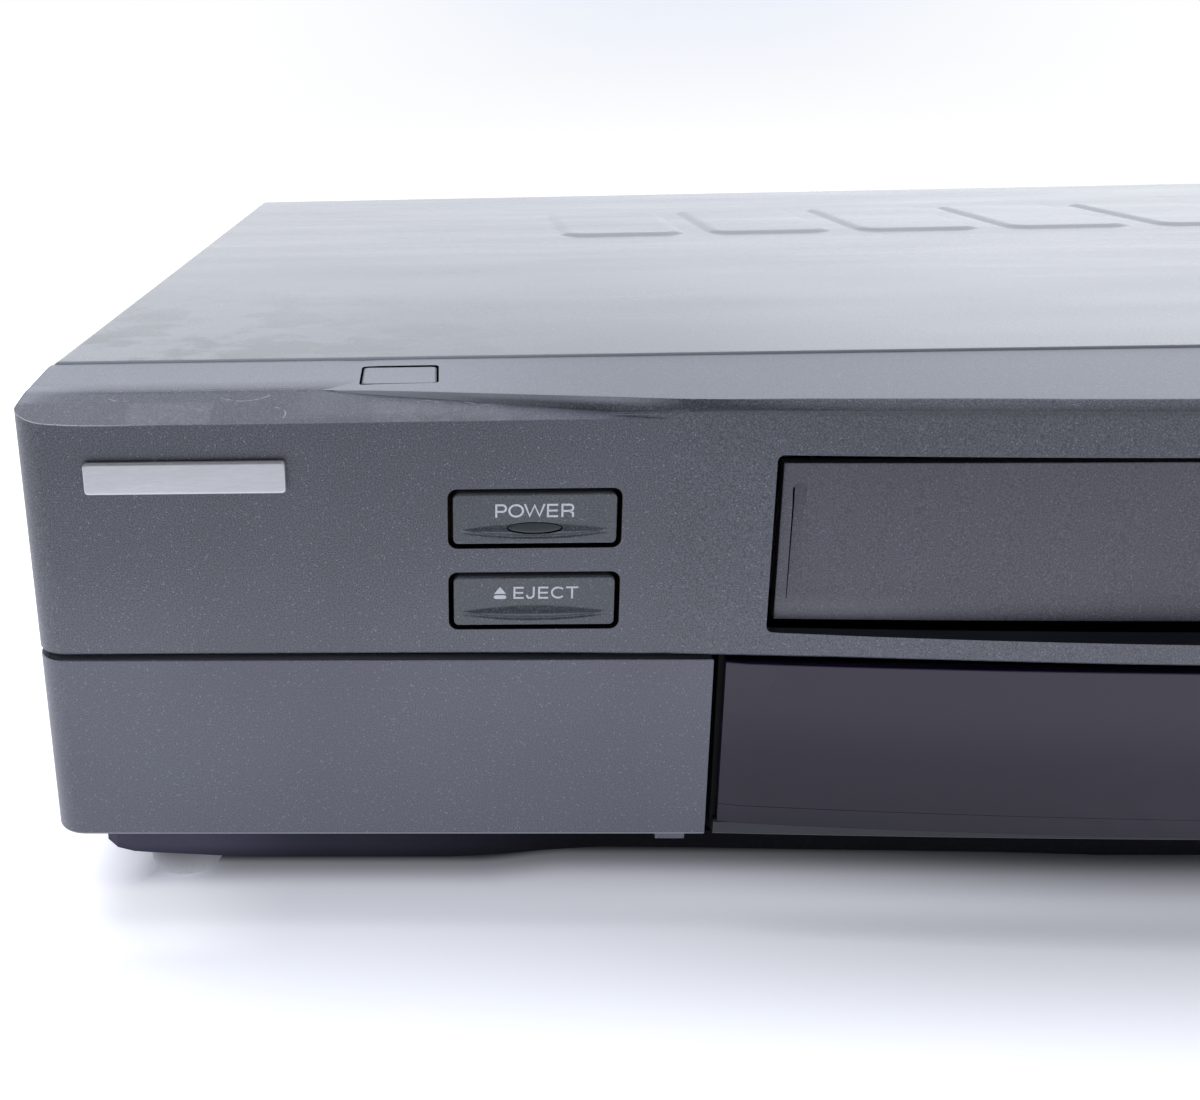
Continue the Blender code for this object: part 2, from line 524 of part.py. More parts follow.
rear = box("rear_panel", -212.6, 212.6, 284.8, 286.8, 15.6, 90.6)
AV_X = (38.0, 58.0, 78.0)
AV_Z = (36.0, 56.0)
holes = [box("inlet_hole", -192.4, -163.6, 283.0, 289.0, 27.6, 46.4, True)]
for i, x in enumerate(AV_X):
    for j, z in enumerate(AV_Z):
        holes.append(rod("av_hole_%d_%d" % (i, j), x, 283.0, z, 5.2, 6.0, "Y", 12, True))
for i, z in enumerate((34.0, 58.0)):
    holes.append(rod("antenna_hole_%d" % i, 165.0, 283.0, z, 5.6, 6.0, "Y", 12, True))
REAR_SCREWS = (("rear_left", -150.0), ("rear_right", 120.0))
for label, x in REAR_SCREWS:
    holes.append(rod("screw_hole_" + label, x, 283.0, 80.0, 2.0, 6.0, "Y", 10, True))
for k in range(8):
    holes.append(box("rear_vent_%d" % k, -128.0 + 11.0 * k, -125.0 + 11.0 * k, 283.0, 289.0, 58.0, 82.0, True))
cut(rear, *holes)
done(rear, BLACK)

# ---- screws --------------------------------------------------------------------------
for label, side, v in SIDE_SCREWS:
    if side < 0:
        screw = rod("screw_" + label, -216.6, v, 30.0, 3.6, 1.3, "X", 12, r2=3.6)
        join(screw, rod("screw_shank_" + label, -216.0, v, 30.0, 1.6, 12.0, "X", 8, True))
    else:
        screw = rod("screw_" + label, 215.3, v, 30.0, 3.6, 1.3, "X", 12)
        join(screw, rod("screw_shank_" + label, 204.0, v, 30.0, 1.6, 12.0, "X", 8, True))
    done(screw, SCREW, True)
for label, x in REAR_SCREWS:
    screw = rod("screw_" + label, x, 287.1, 80.0, 3.4, 1.6, "Y", 12)
    join(screw, rod("screw_shank_" + label, x, 277.0, 80.0, 1.6, 11.0, "Y", 8, True))
    done(screw, SCREW, True)

# ---- feet ------------------------------------------------------------------------------
for label, sx, v in (("front_left", -1, FOOT_VS[0]), ("front_right", 1, FOOT_VS[0]),
                     ("rear_left", -1, FOOT_VS[1]), ("rear_right", 1, FOOT_VS[1])):
    foot = turned("foot_" + label, sx * FOOT_X, v,
                  [(FOOT_R, 9.9 if v < 100.0 else 9.6), (FOOT_R, 1.2), (FOOT_R - 0.9, 0.0)], 24)
    done(foot, RUBBER, True)

# ---- electronics -------------------------------------------------------------------------
main_board = box("main_board", -108.0, 204.0, 36.0, 280.0, 20.0, 21.6)
join(main_board,
     box("video_chip", 112.0, 138.0, 60.0, 86.0, 21.0, 25.0, True),
     box("servo_chip", 118.0, 148.0, 110.0, 132.0, 21.0, 25.0, True),
     rod("board_cap_a", 160.0, 70.0, 21.0, 5.0, 13.0, "Z", 10, True),
     rod("board_cap_b", 176.0, 70.0, 21.0, 4.0, 11.0, "Z", 10, True),
     box("timer_cell", 150.0, 170.0, 150.0, 160.0, 21.0, 33.0, True))
done(main_board, BOARD)
supply = box("power_supply", -206.0, -114.0, 130.0, 276.0, 20.0, 21.6)
join(supply,
     box("transformer", -196.0, -156.0, 150.0, 192.0, 21.0, 58.0, True),
     box("heat_sink", -150.0, -147.0, 150.0, 230.0, 21.0, 55.0, True),
     rod("supply_cap_a", -132.0, 165.0, 21.0, 9.0, 34.0, "Z", 12, True),
     rod("supply_cap_b", -132.0, 190.0, 21.0, 9.0, 34.0, "Z", 12, True),
     box("line_filter", -196.0, -172.0, 210.0, 232.0, 21.0, 42.0, True))
done(supply, BOARD)
tuner = box("tuner_module", 140.0, 198.0, 214.0, 282.0, 22.0, 68.0)
cut(tuner, *[rod("tuner_mouth_%d" % i, 165.0, 276.0, z, 5.4, 8.0, "Y", 12, True) for i, z in enumerate((34.0, 58.0))])
done(tuner, STEEL)
for label, z in (("antenna_input", 34.0), ("antenna_output", 58.0)):
    ob = rod(label, 165.0, 277.0, z, 4.7, 19.2, "Y", 16)
    cut(ob, rod(label + "_bore", 165.0, 290.0, z, 2.1, 8.0, "Y", 10, True))
    done(ob, BRIGHT, True)
av = box("rear_av_jacks", 28.0, 88.0, 272.0, 284.4, 26.0, 66.0)
for i, x in enumerate(AV_X):
    for j, z in enumerate(AV_Z):
        join(av, rod("av_barrel_%d_%d" % (i, j), x, 283.0, z, 4.2, 11.0, "Y", 12, True))
        cut(av, rod("av_bore_%d_%d" % (i, j), x, 282.0, z, 2.2, 14.0, "Y", 8, True))
done(av, BLACK)
inlet = box("mains_inlet", -192.0, -164.0, 268.0, 288.0, 28.0, 46.0)
cut(inlet, outline("inlet_mouth", [rounded(-178.0, 37.0, 20.0, 9.6, 4.6, 3)], 274.0, 290.0, "XZ", True))
join(inlet, rod("inlet_pin_a", -182.3, 273.0, 37.0, 1.4, 13.0, "Y", 8, True),
     rod("inlet_pin_b", -173.7, 273.0, 37.0, 1.4, 13.0, "Y", 8, True))
done(inlet, BLACK)

# ---- tape mechanism --------------------------------------------------------------------------
deck = box("deck_plate", -101.5, 101.5, 46.0, 271.0, DECK_Z - 1.2, DECK_Z)
cut(deck, rod("capstan_hole", CAPSTAN[0], CAPSTAN[1], 28.0, 3.2, 8.0, "Z", 12, True))
done(deck, STEEL)

lower = rod("lower_drum", 0.0, DRUM_V, DRUM_Z, DRUM_R, 12.0, "Z", 32)
done(lower, BRIGHT, True)
upper = rod("upper_drum", 0.0, DRUM_V, DRUM_Z + 12.3, DRUM_R, 14.0, "Z", 32)
cut(upper, rod("drum_dish", 0.0, DRUM_V, DRUM_Z + 22.3, 24.0, 8.0, "Z", 24, True))
done(upper, BRIGHT, True)
tilt_empty = bpy.data.objects.new("drum_axis", None)
tilt_empty.location = (0, (DRUM_V - MID_V) * MM, DRUM_Z * MM)
parts.objects.link(tilt_empty)
bpy.context.view_layer.update()
for ob in (lower, upper):
    ob.parent = tilt_empty
    ob.matrix_parent_inverse = tilt_empty.matrix_world.inverted()
for guide in [o for o in cutters.objects if o.name == "drum_dish"]:
    guide.parent = tilt_empty
    guide.matrix_parent_inverse = tilt_empty.matrix_world.inverted()
tilt_empty.rotation_euler = (math.radians(-DRUM_TILT), 0, 0)

capstan = turned("capstan_rotor", CAPSTAN[0], CAPSTAN[1],
                 [(1.5, 56.0), (1.5, 30.6), (22.0, 30.4), (22.0, 23.4), (3.0, 23.2)], 24)
done(capstan, BRIGHT, True)
hang(capstan, "capstan_axis", CAPSTAN[0], CAPSTAN[1], 30.0)

px, pv = PINCH_PIVOT
rx, rv = PINCH_ROLLER
arm_len = math.hypot(rx - px, rv - pv)
arm_angle = math.atan2(rv - pv, rx - px)
arm_loop = [(px + math.cos(arm_angle) * a - math.sin(arm_angle) * b,
             pv + math.sin(arm_angle) * a + math.cos(arm_angle) * b)
            for a, b in ((-4, -3.5), (arm_len + 3, -2.5), (arm_len + 3, 2.5), (-4, 3.5))]
lever = outline("pinch_lever", [arm_loop], 34.0, 36.0, "XV")
join(lever, rod("lever_hub", px, pv, 32.8, 4.0, 14.0, "Z", 14, True),
     rod("roller_pin", rx, rv, 35.0, 1.2, 22.0, "Z", 8, True))
done(lever, STEEL)
hang(lever, "lever_axis", px, pv, 34.0)
roller = rod("pinch_roller", rx, rv, 36.6, 6.0, 17.0, "Z", 20)
cut(roller, rod("roller_bore", rx, rv, 30.0, 1.5, 30.0, "Z", 8, True))
done(roller, RUBBER, True)
hang(roller, "roller_axis", rx, rv, 40.0)

for label, sx in (("supply_reel", -1), ("takeup_reel", 1)):
    reel = turned(label, sx * REEL_X, REEL_V,
                  [(1.2, 48.0), (3.4, 45.0), (3.4, 36.2), (10.0, 36.0), (10.0, 35.2), (18.0, 35.0), (18.0, DECK_Z + 0.5)], 24)
    fins = [box(label + "_fin_%d" % k, sx * REEL_X - 4.6, sx * REEL_X + 4.6, REEL_V - 0.7, REEL_V + 0.7, 35.5, 44.0, True)
            for k in range(3)]
    for k, fin in enumerate(fins):
        turn = Matrix.Translation((sx * REEL_X * MM, (REEL_V - MID_V) * MM, 0)) @ \
            Matrix.Rotation(math.radians(60 * k), 4, "Z") @ \
            Matrix.Translation((-sx * REEL_X * MM, -(REEL_V - MID_V) * MM, 0))
        fin.data.transform(turn)
    join(reel, *fins)
    done(reel, CREAM, True)
    hang(reel, label + "_axis", sx * REEL_X, REEL_V, 36.0)


def gear_loop(cx, cv, r0, r1, teeth):
    pts = []
    for k in range(teeth):
        for frac, r in ((0.0, r0), (0.3, r1), (0.55, r1), (0.85, r0)):
            a = 2 * math.pi * (k + frac) / teeth
            pts.append((cx + r * math.cos(a), cv + r * math.sin(a)))
    return pts


idler = outline("idler_gear", [gear_loop(0.0, 146.0, 9.0, 10.4, 18)], DECK_Z + 0.5, DECK_Z + 4.0, "XV")
join(idler, rod("idler_hub", 0.0, 146.0, DECK_Z + 3.0, 3.0, 4.0, "Z", 12, True))
done(idler, CREAM)
hang(idler, "idler_axis", 0.0, 146.0, DECK_Z)
cam = outline("loading_cam", [gear_loop(-76.0, 232.0, 12.6, 14.0, 24)], DECK_Z + 0.5, DECK_Z + 5.0, "XV")
join(cam, rod("cam_hub", -76.0, 232.0, DECK_Z + 4.0, 4.0, 4.0, "Z", 12, True))
done(cam, CREAM)
hang(cam, "cam_axis", -76.0, 232.0, DECK_Z)
motor = rod("loading_motor", -80.0, 258.0, DECK_Z + 0.5, 9.5, 26.0, "Z", 20)
join(motor, rod("motor_boss", -80.0, 258.0, DECK_Z + 26.0, 3.5, 3.0, "Z", 12, True))
done(motor, STEEL, True)
for label, sx in (("guide_post_left", -1), ("guide_post_right", 1)):
    gx, gv = sx * GUIDE_FROM[0], GUIDE_FROM[1]
    post = turned(label, gx, gv, [(4.0, 58.0), (4.0, 56.6), (2.8, 56.4), (2.8, 40.0), (4.0, 39.8), (4.0, 38.4),
                                  (2.0, 38.2), (2.0, 36.4), (5.0, 36.2), (5.0, DECK_Z + 0.5)], 16)
    done(post, BRIGHT, True)
    hang(post, label + "_axis", gx, gv, DECK_Z)
head = box("audio_head", 47.5, 57.0, 206.0, 216.0, 38.0, 56.0)
join(head, box("head_foot", 49.0, 55.5, 207.5, 214.5, DECK_Z + 0.4, 40.0, True))
done(head, BRIGHT)
erase = box("erase_head", -66.0, -56.0, 208.0, 216.0, 38.0, 56.0)
join(erase, box("erase_foot", -64.0, -58.0, 209.0, 215.0, DECK_Z + 0.4, 40.0, True))
done(erase, BRIGHT)

# ---- cassette carriage --------------------------------------------------------------------------
frame = box("holder_frame", -100.8, -99.6, 46.0, 212.0, DECK_Z + 0.4, 88.4)
join(frame, box("frame_right", 99.6, 100.8, 46.0, 212.0, DECK_Z + 0.4, 88.4, True),
     box("frame_bridge_front", -100.8, 100.8, 46.0, 60.0, 87.2, 88.4, True),
     box("frame_bridge_rear", -100.8, 100.8, 170.0, 190.0, 87.2, 88.4, True))
done(frame, STEEL)
slide = box("holder_slide", -98.6, 98.6, 120.0, 132.0, 84.6, 85.8)
join(slide, box("slide_arm_left", -98.6, -97.4, 60.0, 132.0, 66.0, 85.8, True),
     box("slide_arm_right", 97.4, 98.6, 60.0, 132.0, 66.0, 85.8, True))
done(slide, STEEL)
hang(slide, "slide_axis", 0.0, 126.0, 85.0)
holder = outline("cassette_holder", [[(-HOLD_X, HOLD_Z0), (-86.0, HOLD_Z0), (-86.0, HOLD_Z0 + 1.0),
                                      (-95.2, HOLD_Z0 + 1.0), (-95.2, HOLD_Z1 - 1.0), (95.2, HOLD_Z1 - 1.0),
                                      (95.2, HOLD_Z0 + 1.0), (86.0, HOLD_Z0 + 1.0), (86.0, HOLD_Z0),
                                      (HOLD_X, HOLD_Z0), (HOLD_X, HOLD_Z1), (-HOLD_X, HOLD_Z1)]],
                 HOLD_V0, HOLD_V1, "XZ")
done(holder, STEEL)
hang(holder, "holder_axis", 0.0, 85.0, 68.0)
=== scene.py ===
"""Looks of the video cassette recorder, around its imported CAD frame.

Helper lengths are millimetres: x to the right seen from the front, v behind the
flat of the front panel, z above the table.  Meshes are made in metres, in the
frame's own axes, with +Y to the rear.
"""
import math

import bmesh
import bpy
from mathutils import Matrix, Vector


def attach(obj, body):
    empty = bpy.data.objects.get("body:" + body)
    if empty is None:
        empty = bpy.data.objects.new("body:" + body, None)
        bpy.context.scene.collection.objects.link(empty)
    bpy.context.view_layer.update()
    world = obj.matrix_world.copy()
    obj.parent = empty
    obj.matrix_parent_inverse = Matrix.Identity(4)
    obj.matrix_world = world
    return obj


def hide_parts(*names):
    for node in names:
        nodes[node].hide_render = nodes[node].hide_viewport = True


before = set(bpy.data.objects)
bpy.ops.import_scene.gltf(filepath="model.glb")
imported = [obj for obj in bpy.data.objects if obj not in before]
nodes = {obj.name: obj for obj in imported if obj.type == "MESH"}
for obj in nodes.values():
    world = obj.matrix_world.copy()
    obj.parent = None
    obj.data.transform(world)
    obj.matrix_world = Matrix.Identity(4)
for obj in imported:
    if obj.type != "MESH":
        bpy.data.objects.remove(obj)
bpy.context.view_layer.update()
scene = bpy.context.scene

MID_V = 145.0
HALF_W = 215.0
LEDGE_Z = 91.6
CREASE_Z = 87.6
SEAM_V = 24.35
BOW_V = -6.2
BOW_K = 1.0 / 2220.0
FASCIA_Z0, BOWED_Z0 = 50.5, 50.2
DOOR_Z0, DOOR_Z1 = 18.25, 49.2
CORNER_X, CORNER_R = 209.7, 5.3
FACET_SLOPE = 0.271
SLOT_X = 101.9
SLOT_Z1 = 82.3
FLAP_X, FLAP_T, FLAP_Z0, FLAP_Z1 = 100.1, 2.0, 55.05, 80.2
FLAP_AXIS = (5.2, 79.0)
BTN_W, BTN_H, BTN_GAP, BTN_R = 24.5, 8.0, 0.65, 0.8
PAINT_SPEC, DUST_AND_SHEEN = 0.8, 0.19
FLOOR_GLOW = (0.42, 0.43, 0.485)
SKY_BACK, SKY_RIGHT, SKY_FRONT, SKY_TOP = (1.9, 0.75, 0.9), 1.2, (0.16, 0.60), 0.85
TOP_POWER = 16.0
CENTRES = {"power": (-136.8, 72.4), "eject": (-136.8, 59.15), "play": (136.8, 72.4), "stop": (136.8, 59.15),
           "forward": (168.8, 72.4), "rewind": (168.8, 59.15), "record": (136.8, 34.0), "pause": (168.8, 34.0)}


# ------------------------------------------------------------------ materials
class Finish:
    """A node material under construction."""

    def __init__(self, name):
        self.mat = bpy.data.materials.new(name)
        self.mat.use_nodes = True
        self.tree = self.mat.node_tree
        self.shader = self.tree.nodes["Principled BSDF"]
        self.coords = self.tree.nodes.new("ShaderNodeTexCoord").outputs["Object"]

    def put(self, socket, value):
        if isinstance(value, bpy.types.NodeSocket):
            self.tree.links.new(value, socket)
        elif value is not None:
            if socket.type == "RGBA" and len(value) == 3:
                value = (*value, 1.0)
            socket.default_value = value

    def set(self, **values):
        for key, value in values.items():
            self.put(self.shader.inputs[key.replace("_", " ")], value)
        return self

    def math(self, how, a, b=None, c=None, clamp=False):
        node = self.tree.nodes.new("ShaderNodeMath")
        node.operation = how
        node.use_clamp = clamp
        for socket, value in zip(node.inputs, (a, b, c)):
            self.put(socket, value)
        return node.outputs[0]

    def mix(self, factor, a, b):
        node = self.tree.nodes.new("ShaderNodeMix")
        node.data_type = "RGBA"
        self.put(node.inputs[0], factor)
        self.put(node.inputs[6], a)
        self.put(node.inputs[7], b)
        return node.outputs[2]

    def blend(self, factor, a, b):
        node = self.tree.nodes.new("ShaderNodeMix")
        node.data_type = "FLOAT"
        self.put(node.inputs[0], factor)
        self.put(node.inputs[2], a)
        self.put(node.inputs[3], b)
        return node.outputs[0]

    def span(self, value, lo, hi, to_lo=0.0, to_hi=1.0, smooth=True):
        node = self.tree.nodes.new("ShaderNodeMapRange")
        node.interpolation_type = "SMOOTHSTEP" if smooth else "LINEAR"
        self.put(node.inputs["Value"], value)
        for key, number in (("From Min", lo), ("From Max", hi), ("To Min", to_lo), ("To Max", to_hi)):
            node.inputs[key].default_value = number
        return node.outputs[0]

    def scaled(self, factors, offset=(0, 0, 0)):
        node = self.tree.nodes.new("ShaderNodeMapping")
        node.inputs["Scale"].default_value = factors
        node.inputs["Location"].default_value = offset
        self.put(node.inputs["Vector"], self.coords)
        return node.outputs[0]

    def noise(self, scale, detail=2.0, rough=0.5, vector=None, distort=0.0):
        node = self.tree.nodes.new("ShaderNodeTexNoise")
        node.inputs["Scale"].default_value = scale
        node.inputs["Detail"].default_value = detail
        node.inputs["Roughness"].default_value = rough
        node.inputs["Distortion"].default_value = distort
        self.put(node.inputs["Vector"], vector or self.coords)
        return node.outputs["Fac"]

    def cells(self, scale, vector=None, out="Distance"):
        node = self.tree.nodes.new("ShaderNodeTexVoronoi")
        node.inputs["Scale"].default_value = scale
        self.put(node.inputs["Vector"], vector or self.coords)
        return node.outputs[out]

    def axes(self):
        """x, v and z of the point, in mm, as the helpers have them."""
        node = self.tree.nodes.new("ShaderNodeSeparateXYZ")
        self.put(node.inputs[0], self.coords)
        x = self.math("MULTIPLY", node.outputs[0], 1000.0)
        v = self.math("MULTIPLY_ADD", node.outputs[1], 1000.0, MID_V)
        z = self.math("MULTIPLY", node.outputs[2], 1000.0)
        return x, v, z

    def normal_up(self):
        node = self.tree.nodes.new("ShaderNodeSeparateXYZ")
        geo = self.tree.nodes.new("ShaderNodeNewGeometry")
        self.put(node.inputs[0], geo.outputs["True Normal"])
        return node.outputs[2]

    def bump(self, height, distance, strength=1.0):
        node = self.tree.nodes.new("ShaderNodeBump")
        node.inputs["Strength"].default_value = strength
        node.inputs["Distance"].default_value = distance
        self.put(node.inputs["Height"], height)
        self.put(self.shader.inputs["Normal"], node.outputs[0])
        return self

    def window(self, value, lo, hi, soft):
        """1 between lo and hi, falling to 0 over soft outside them."""
        up = self.span(value, lo - soft, lo)
        down = self.span(value, hi, hi + soft, 1.0, 0.0)
        return self.math("MULTIPLY", up, down)


def paint(name, dark, light, rough=0.42, grain=1.0, wear_and_painted_light=False, edge_z=None, lift=False):
    """Dark grey paint with a fine metallic flake, on moulded plastic."""
    f = Finish(name)
    fine = f.noise(4600.0, 1.0, 0.5)
    cloud = f.noise(28.0, 3.0, 0.55)
    tone = f.span(fine, 0.5 - 0.15 / grain, 0.5 + 0.15 / grain, smooth=False)
    colour = f.mix(tone, dark, light)
    flake = f.cells(3000.0, out="Color")
    pick = f.tree.nodes.new("ShaderNodeSeparateColor")
    f.put(pick.inputs[0], flake)
    spark = f.span(pick.outputs[0], 0.86, 0.98)
    near = f.span(f.cells(3000.0), 0.5, 0.2)
    colour = f.mix(f.math("MULTIPLY", f.math("MULTIPLY", spark, near), 0.5 * grain), colour, tuple(min(1, 2.6 * c) for c in light))
    colour = f.mix(f.span(cloud, 0.35, 0.7, 0.0, 0.16), colour, tuple(0.72 * c for c in dark))
    roughness = f.blend(cloud, rough - 0.05, rough + 0.06)
    if wear_and_painted_light:
        # real rubbing and scratches, then painted light and shade on the band, the facet and the opening's walls
        x, v, z = f.axes()
        up = f.normal_up()
        slope = f.math("MULTIPLY", f.span(up, 0.25, 0.45), f.span(up, 0.95, 0.99, 1.0, 0.0))
        # rubbed patches along the rolled edge
        warp = f.math("MULTIPLY_ADD", f.noise(180.0, 2.0), 3.0, -1.5)
        xw = f.math("ADD", x, warp)
        patch_a = f.window(xw, -197.0, -185.2, 0.9)
        patch_b = f.math("MULTIPLY", f.window(xw, -159.5, -142.5, 2.5), 0.9)
        patch = f.math("MULTIPLY", f.math("MAXIMUM", patch_a, patch_b), f.window(v, -0.5, 5.6, 1.6))
        cloudy = f.span(f.noise(700.0, 3.0, 0.6), 0.36, 0.66, 0.45, 1.0)
        rub = f.math("MULTIPLY", f.math("MULTIPLY", patch, cloudy), slope)
        general = f.math("MULTIPLY", f.math("MULTIPLY", f.span(f.noise(260.0, 4.0, 0.6), 0.5, 0.75), slope), 0.28)
        rub = f.math("MAXIMUM", rub, general)
        colour = f.mix(f.math("MULTIPLY", rub, 0.15), colour, (0.50, 0.51, 0.55))
        # a few fine curved scratches, each a short arc on the roll
        hair = None
        for ax, av, radius, lo, hi, v_lo, v_hi in SCRATCHES:
            gone = f.math("SUBTRACT", f.math("SQRT", f.math("ADD", f.math("POWER", f.math("SUBTRACT", x, ax), 2.0), f.math("POWER", f.math("SUBTRACT", v, av), 2.0))), radius)
            one = f.math("MULTIPLY", f.span(f.math("ABSOLUTE", f.math("ADD", gone, f.math("MULTIPLY", warp, 0.10))), 0.04, 0.15, 1.0, 0.0), f.window(x, lo, hi, 0.5))
            one = f.math("MULTIPLY", one, f.window(v, v_lo, v_hi, 0.3))
            hair = one if hair is None else f.math("MAXIMUM", hair, one)
        hair = f.math("MULTIPLY", f.math("MULTIPLY", hair, f.span(f.noise(900.0, 2.0), 0.32, 0.55)), f.span(up, 0.2, 0.3))
        colour = f.mix(f.math("MULTIPLY", hair, 0.36), colour, (0.62, 0.63, 0.68))
        roughness = f.math("ADD", roughness, f.math("MULTIPLY", rub, 0.08))
        out_x = f.math("ABSOLUTE", x)
        # painted shade: a near-black band low on the bowed middle's chamfer, under the ledge's edge
        under = f.math("MULTIPLY", f.window(z, 88.75, 89.35, 0.9), f.span(out_x, 124.0, 112.0))
        colour = f.mix(f.math("MULTIPLY", under, 0.42), colour, (0.010, 0.011, 0.016))
        # painted light: the chamfer and the slanted band beside it are made paler, by amounts that change with x and,
        # in the middle, with height
        steep = f.math("MULTIPLY", f.window(v, 0.5, 9.0, 0.2), f.span(up, 0.90, 0.94, 1.0, 0.0))
        band_painted_light = f.math("MULTIPLY", f.math("MULTIPLY", steep, f.window(z, 88.2, 90.6, 0.3)), f.span(out_x, 174.0, 172.0))
        graded = f.math("MULTIPLY", f.math("ADD", f.span(out_x, 113.0, 128.0, 0.03, 0.36), f.span(out_x, 134.0, 146.0, 0.0, 0.20)), f.span(z, 89.0, 90.1))
        even = f.math("ADD", f.math("ADD", f.span(out_x, 128.0, 146.0, 0.0, 0.30), f.span(out_x, 143.0, 150.0, 0.0, 0.26)), f.span(out_x, 148.0, 162.0, 0.0, 0.24))
        colour = f.mix(f.math("MULTIPLY", band_painted_light, f.math("MAXIMUM", graded, even)), colour, (0.50, 0.53, 0.60))
        # painted light: the facet just below the band, which the band shades, is made paler; the haze amounts here are
        # this painted light, set by x
        facet_painted_light = f.math("MULTIPLY", f.window(up, 0.945, 0.98, 0.01), f.math("MULTIPLY", f.span(v, 9.6, 8.8), f.span(z, 87.2, 87.5)))
        haze = f.math("ADD", f.math("ADD", f.span(x, -148.0, -174.0, 0.0, 0.038), f.math("ADD", f.span(x, -180.0, -208.0, 0.0, 0.03), f.math("MULTIPLY", f.window(x, -140.0, -116.0, 7.0), 0.055))),
                      f.math("MULTIPLY", f.math("MULTIPLY", f.window(x, -168.0, -126.0, 7.0), f.span(v, 0.2, 3.5)), 0.05))
        colour = f.mix(f.math("MULTIPLY", facet_painted_light, haze), colour, (0.55, 0.575, 0.66))
        # painted light and shade on upright walls by the cassette opening: a little paler low down, darker near its
        # top
        wall_light_and_shade = f.span(up, 0.3, 0.1)
        colour = f.mix(f.math("MULTIPLY", f.math("MULTIPLY", wall_light_and_shade, f.span(out_x, 100.0, 125.0, 0.4, 1.0)), f.span(z, 72.0, 51.0, 0.0, 0.028)), colour, (0.55, 0.575, 0.66))
        colour = f.mix(f.math("MULTIPLY", f.math("MULTIPLY", wall_light_and_shade, f.span(z, 79.0, 84.0)), f.span(out_x, 118.0, 104.0, 0.0, 0.10)), colour, (0.010, 0.011, 0.016))
    if lift:
        # painted light: the lower left of the flap is made paler, where the sunk flap is shaded from below
        x, v, z = f.axes()
        colour = f.mix(f.math("MULTIPLY", f.span(z, 60.0, 55.6, 0.0, 0.13), f.span(x, -55.0, -92.0)), colour, (0.55, 0.56, 0.64))
    if edge_z:
        # the lower edge is painted as a thin pale line
        x, v, z = f.axes()
        colour = f.mix(f.math("MULTIPLY", f.window(z, edge_z - 0.2, edge_z + 0.28, 0.08), 0.42), colour, (0.42, 0.44, 0.48))
        # painted shade: its top, down in the gap, is painted near black
        colour = f.mix(f.math("MULTIPLY", f.span(f.normal_up(), 0.85, 0.95), f.span(z, 48.6, 48.9)), colour, (0.001, 0.001, 0.0015))
    # up-facing faces are made paler: dust, and a painted sheen that grows towards the left end
    dust_and_sheen = f.math("MULTIPLY", f.span(f.normal_up(), 0.967, 0.998), f.blend(cloud, DUST_AND_SHEEN * 0.8, DUST_AND_SHEEN * 1.2))
    side_x = f.axes()[0]
    dust_and_sheen = f.math("MULTIPLY", dust_and_sheen, f.math("ADD", f.span(side_x, -120.0, -165.0, 1.0, 1.62), f.span(side_x, -90.0, -40.0, 0.0, 0.15)))
    colour = f.mix(dust_and_sheen, colour, (0.55, 0.575, 0.65))
    f.set(Base_Color=colour, Roughness=roughness, Metallic=0.0)
    f.shader.inputs["Specular IOR Level"].default_value = PAINT_SPEC
    f.bump(fine, 0.00002 * grain, 0.5)
    return f.mat


def worn_and_highlit_edge():
    """The crisp lower edge of the slanted band, pale towards the corner from wear and a painted highlight."""
    f = Finish("paint_worn_and_highlit_edge")
    fine = f.noise(2600.0, 2.0, 0.5)
    x, v, z = f.axes()
    colour = f.mix(f.span(fine, 0.35, 0.65), (0.045, 0.05, 0.07), (0.085, 0.092, 0.122))
    # wear and painted highlight: paler towards the corner
    wear_and_highlight = f.math("ADD", f.span(x, -190.0, -207.0, 0.0, 0.42), f.span(x, -120.0, -190.0, 0.0, 0.10))
    colour = f.mix(f.math("MULTIPLY", wear_and_highlight, f.span(fine, 0.30, 0.5, 0.55, 1.0)), colour, (0.60, 0.61, 0.66))
    f.set(Base_Color=colour, Roughness=f.blend(fine, 0.40, 0.5))
    f.bump(fine, 0.00001, 0.4)
    return f.mat


# fine curved scratches on the slanted band: centre x and v of each arc, its radius, and where it runs in x and v
SCRATCHES = ((-180.7, 12.8, 6.1, -183.7, -176.7, 6.5, 8.2), (-175.8, 2.6, 2.1, -175.1, -173.7, 1.7, 4.8), (-198.8, 11.5, 4.5, -201.2, -198.6, 6.8, 7.8),
             (-152.6, 3.5, 2.6, -153.8, -151.2, 5.5, 6.2), (-147.1, 3.3, 2.1, -147.1, -145.2, 3.9, 5.5), (-144.7, 9.1, 4.6, -145.2, -142.3, 4.4, 5.3))
MAT = {}
MAT["edge"] = worn_and_highlit_edge()
MAT["front"] = paint("paint_front", (0.020, 0.0225, 0.034), (0.080, 0.088, 0.119), 0.42, 1.5, True)
# painted light: the door's paint is a paler copy of the front's, for the floor's light on the lower front
MAT["door"] = paint("paint_door_painted_light", (0.044, 0.047, 0.071), (0.090, 0.096, 0.133), 0.40, 1.2, edge_z=DOOR_Z0)
MAT["button"] = paint("paint_button", (0.014, 0.019, 0.026), (0.060, 0.070, 0.087), 0.42, 1.5)
MAT["flap"] = paint("paint_flap", (0.016, 0.0155, 0.031), (0.060, 0.0595, 0.090), 0.42, 1.4, lift=True)


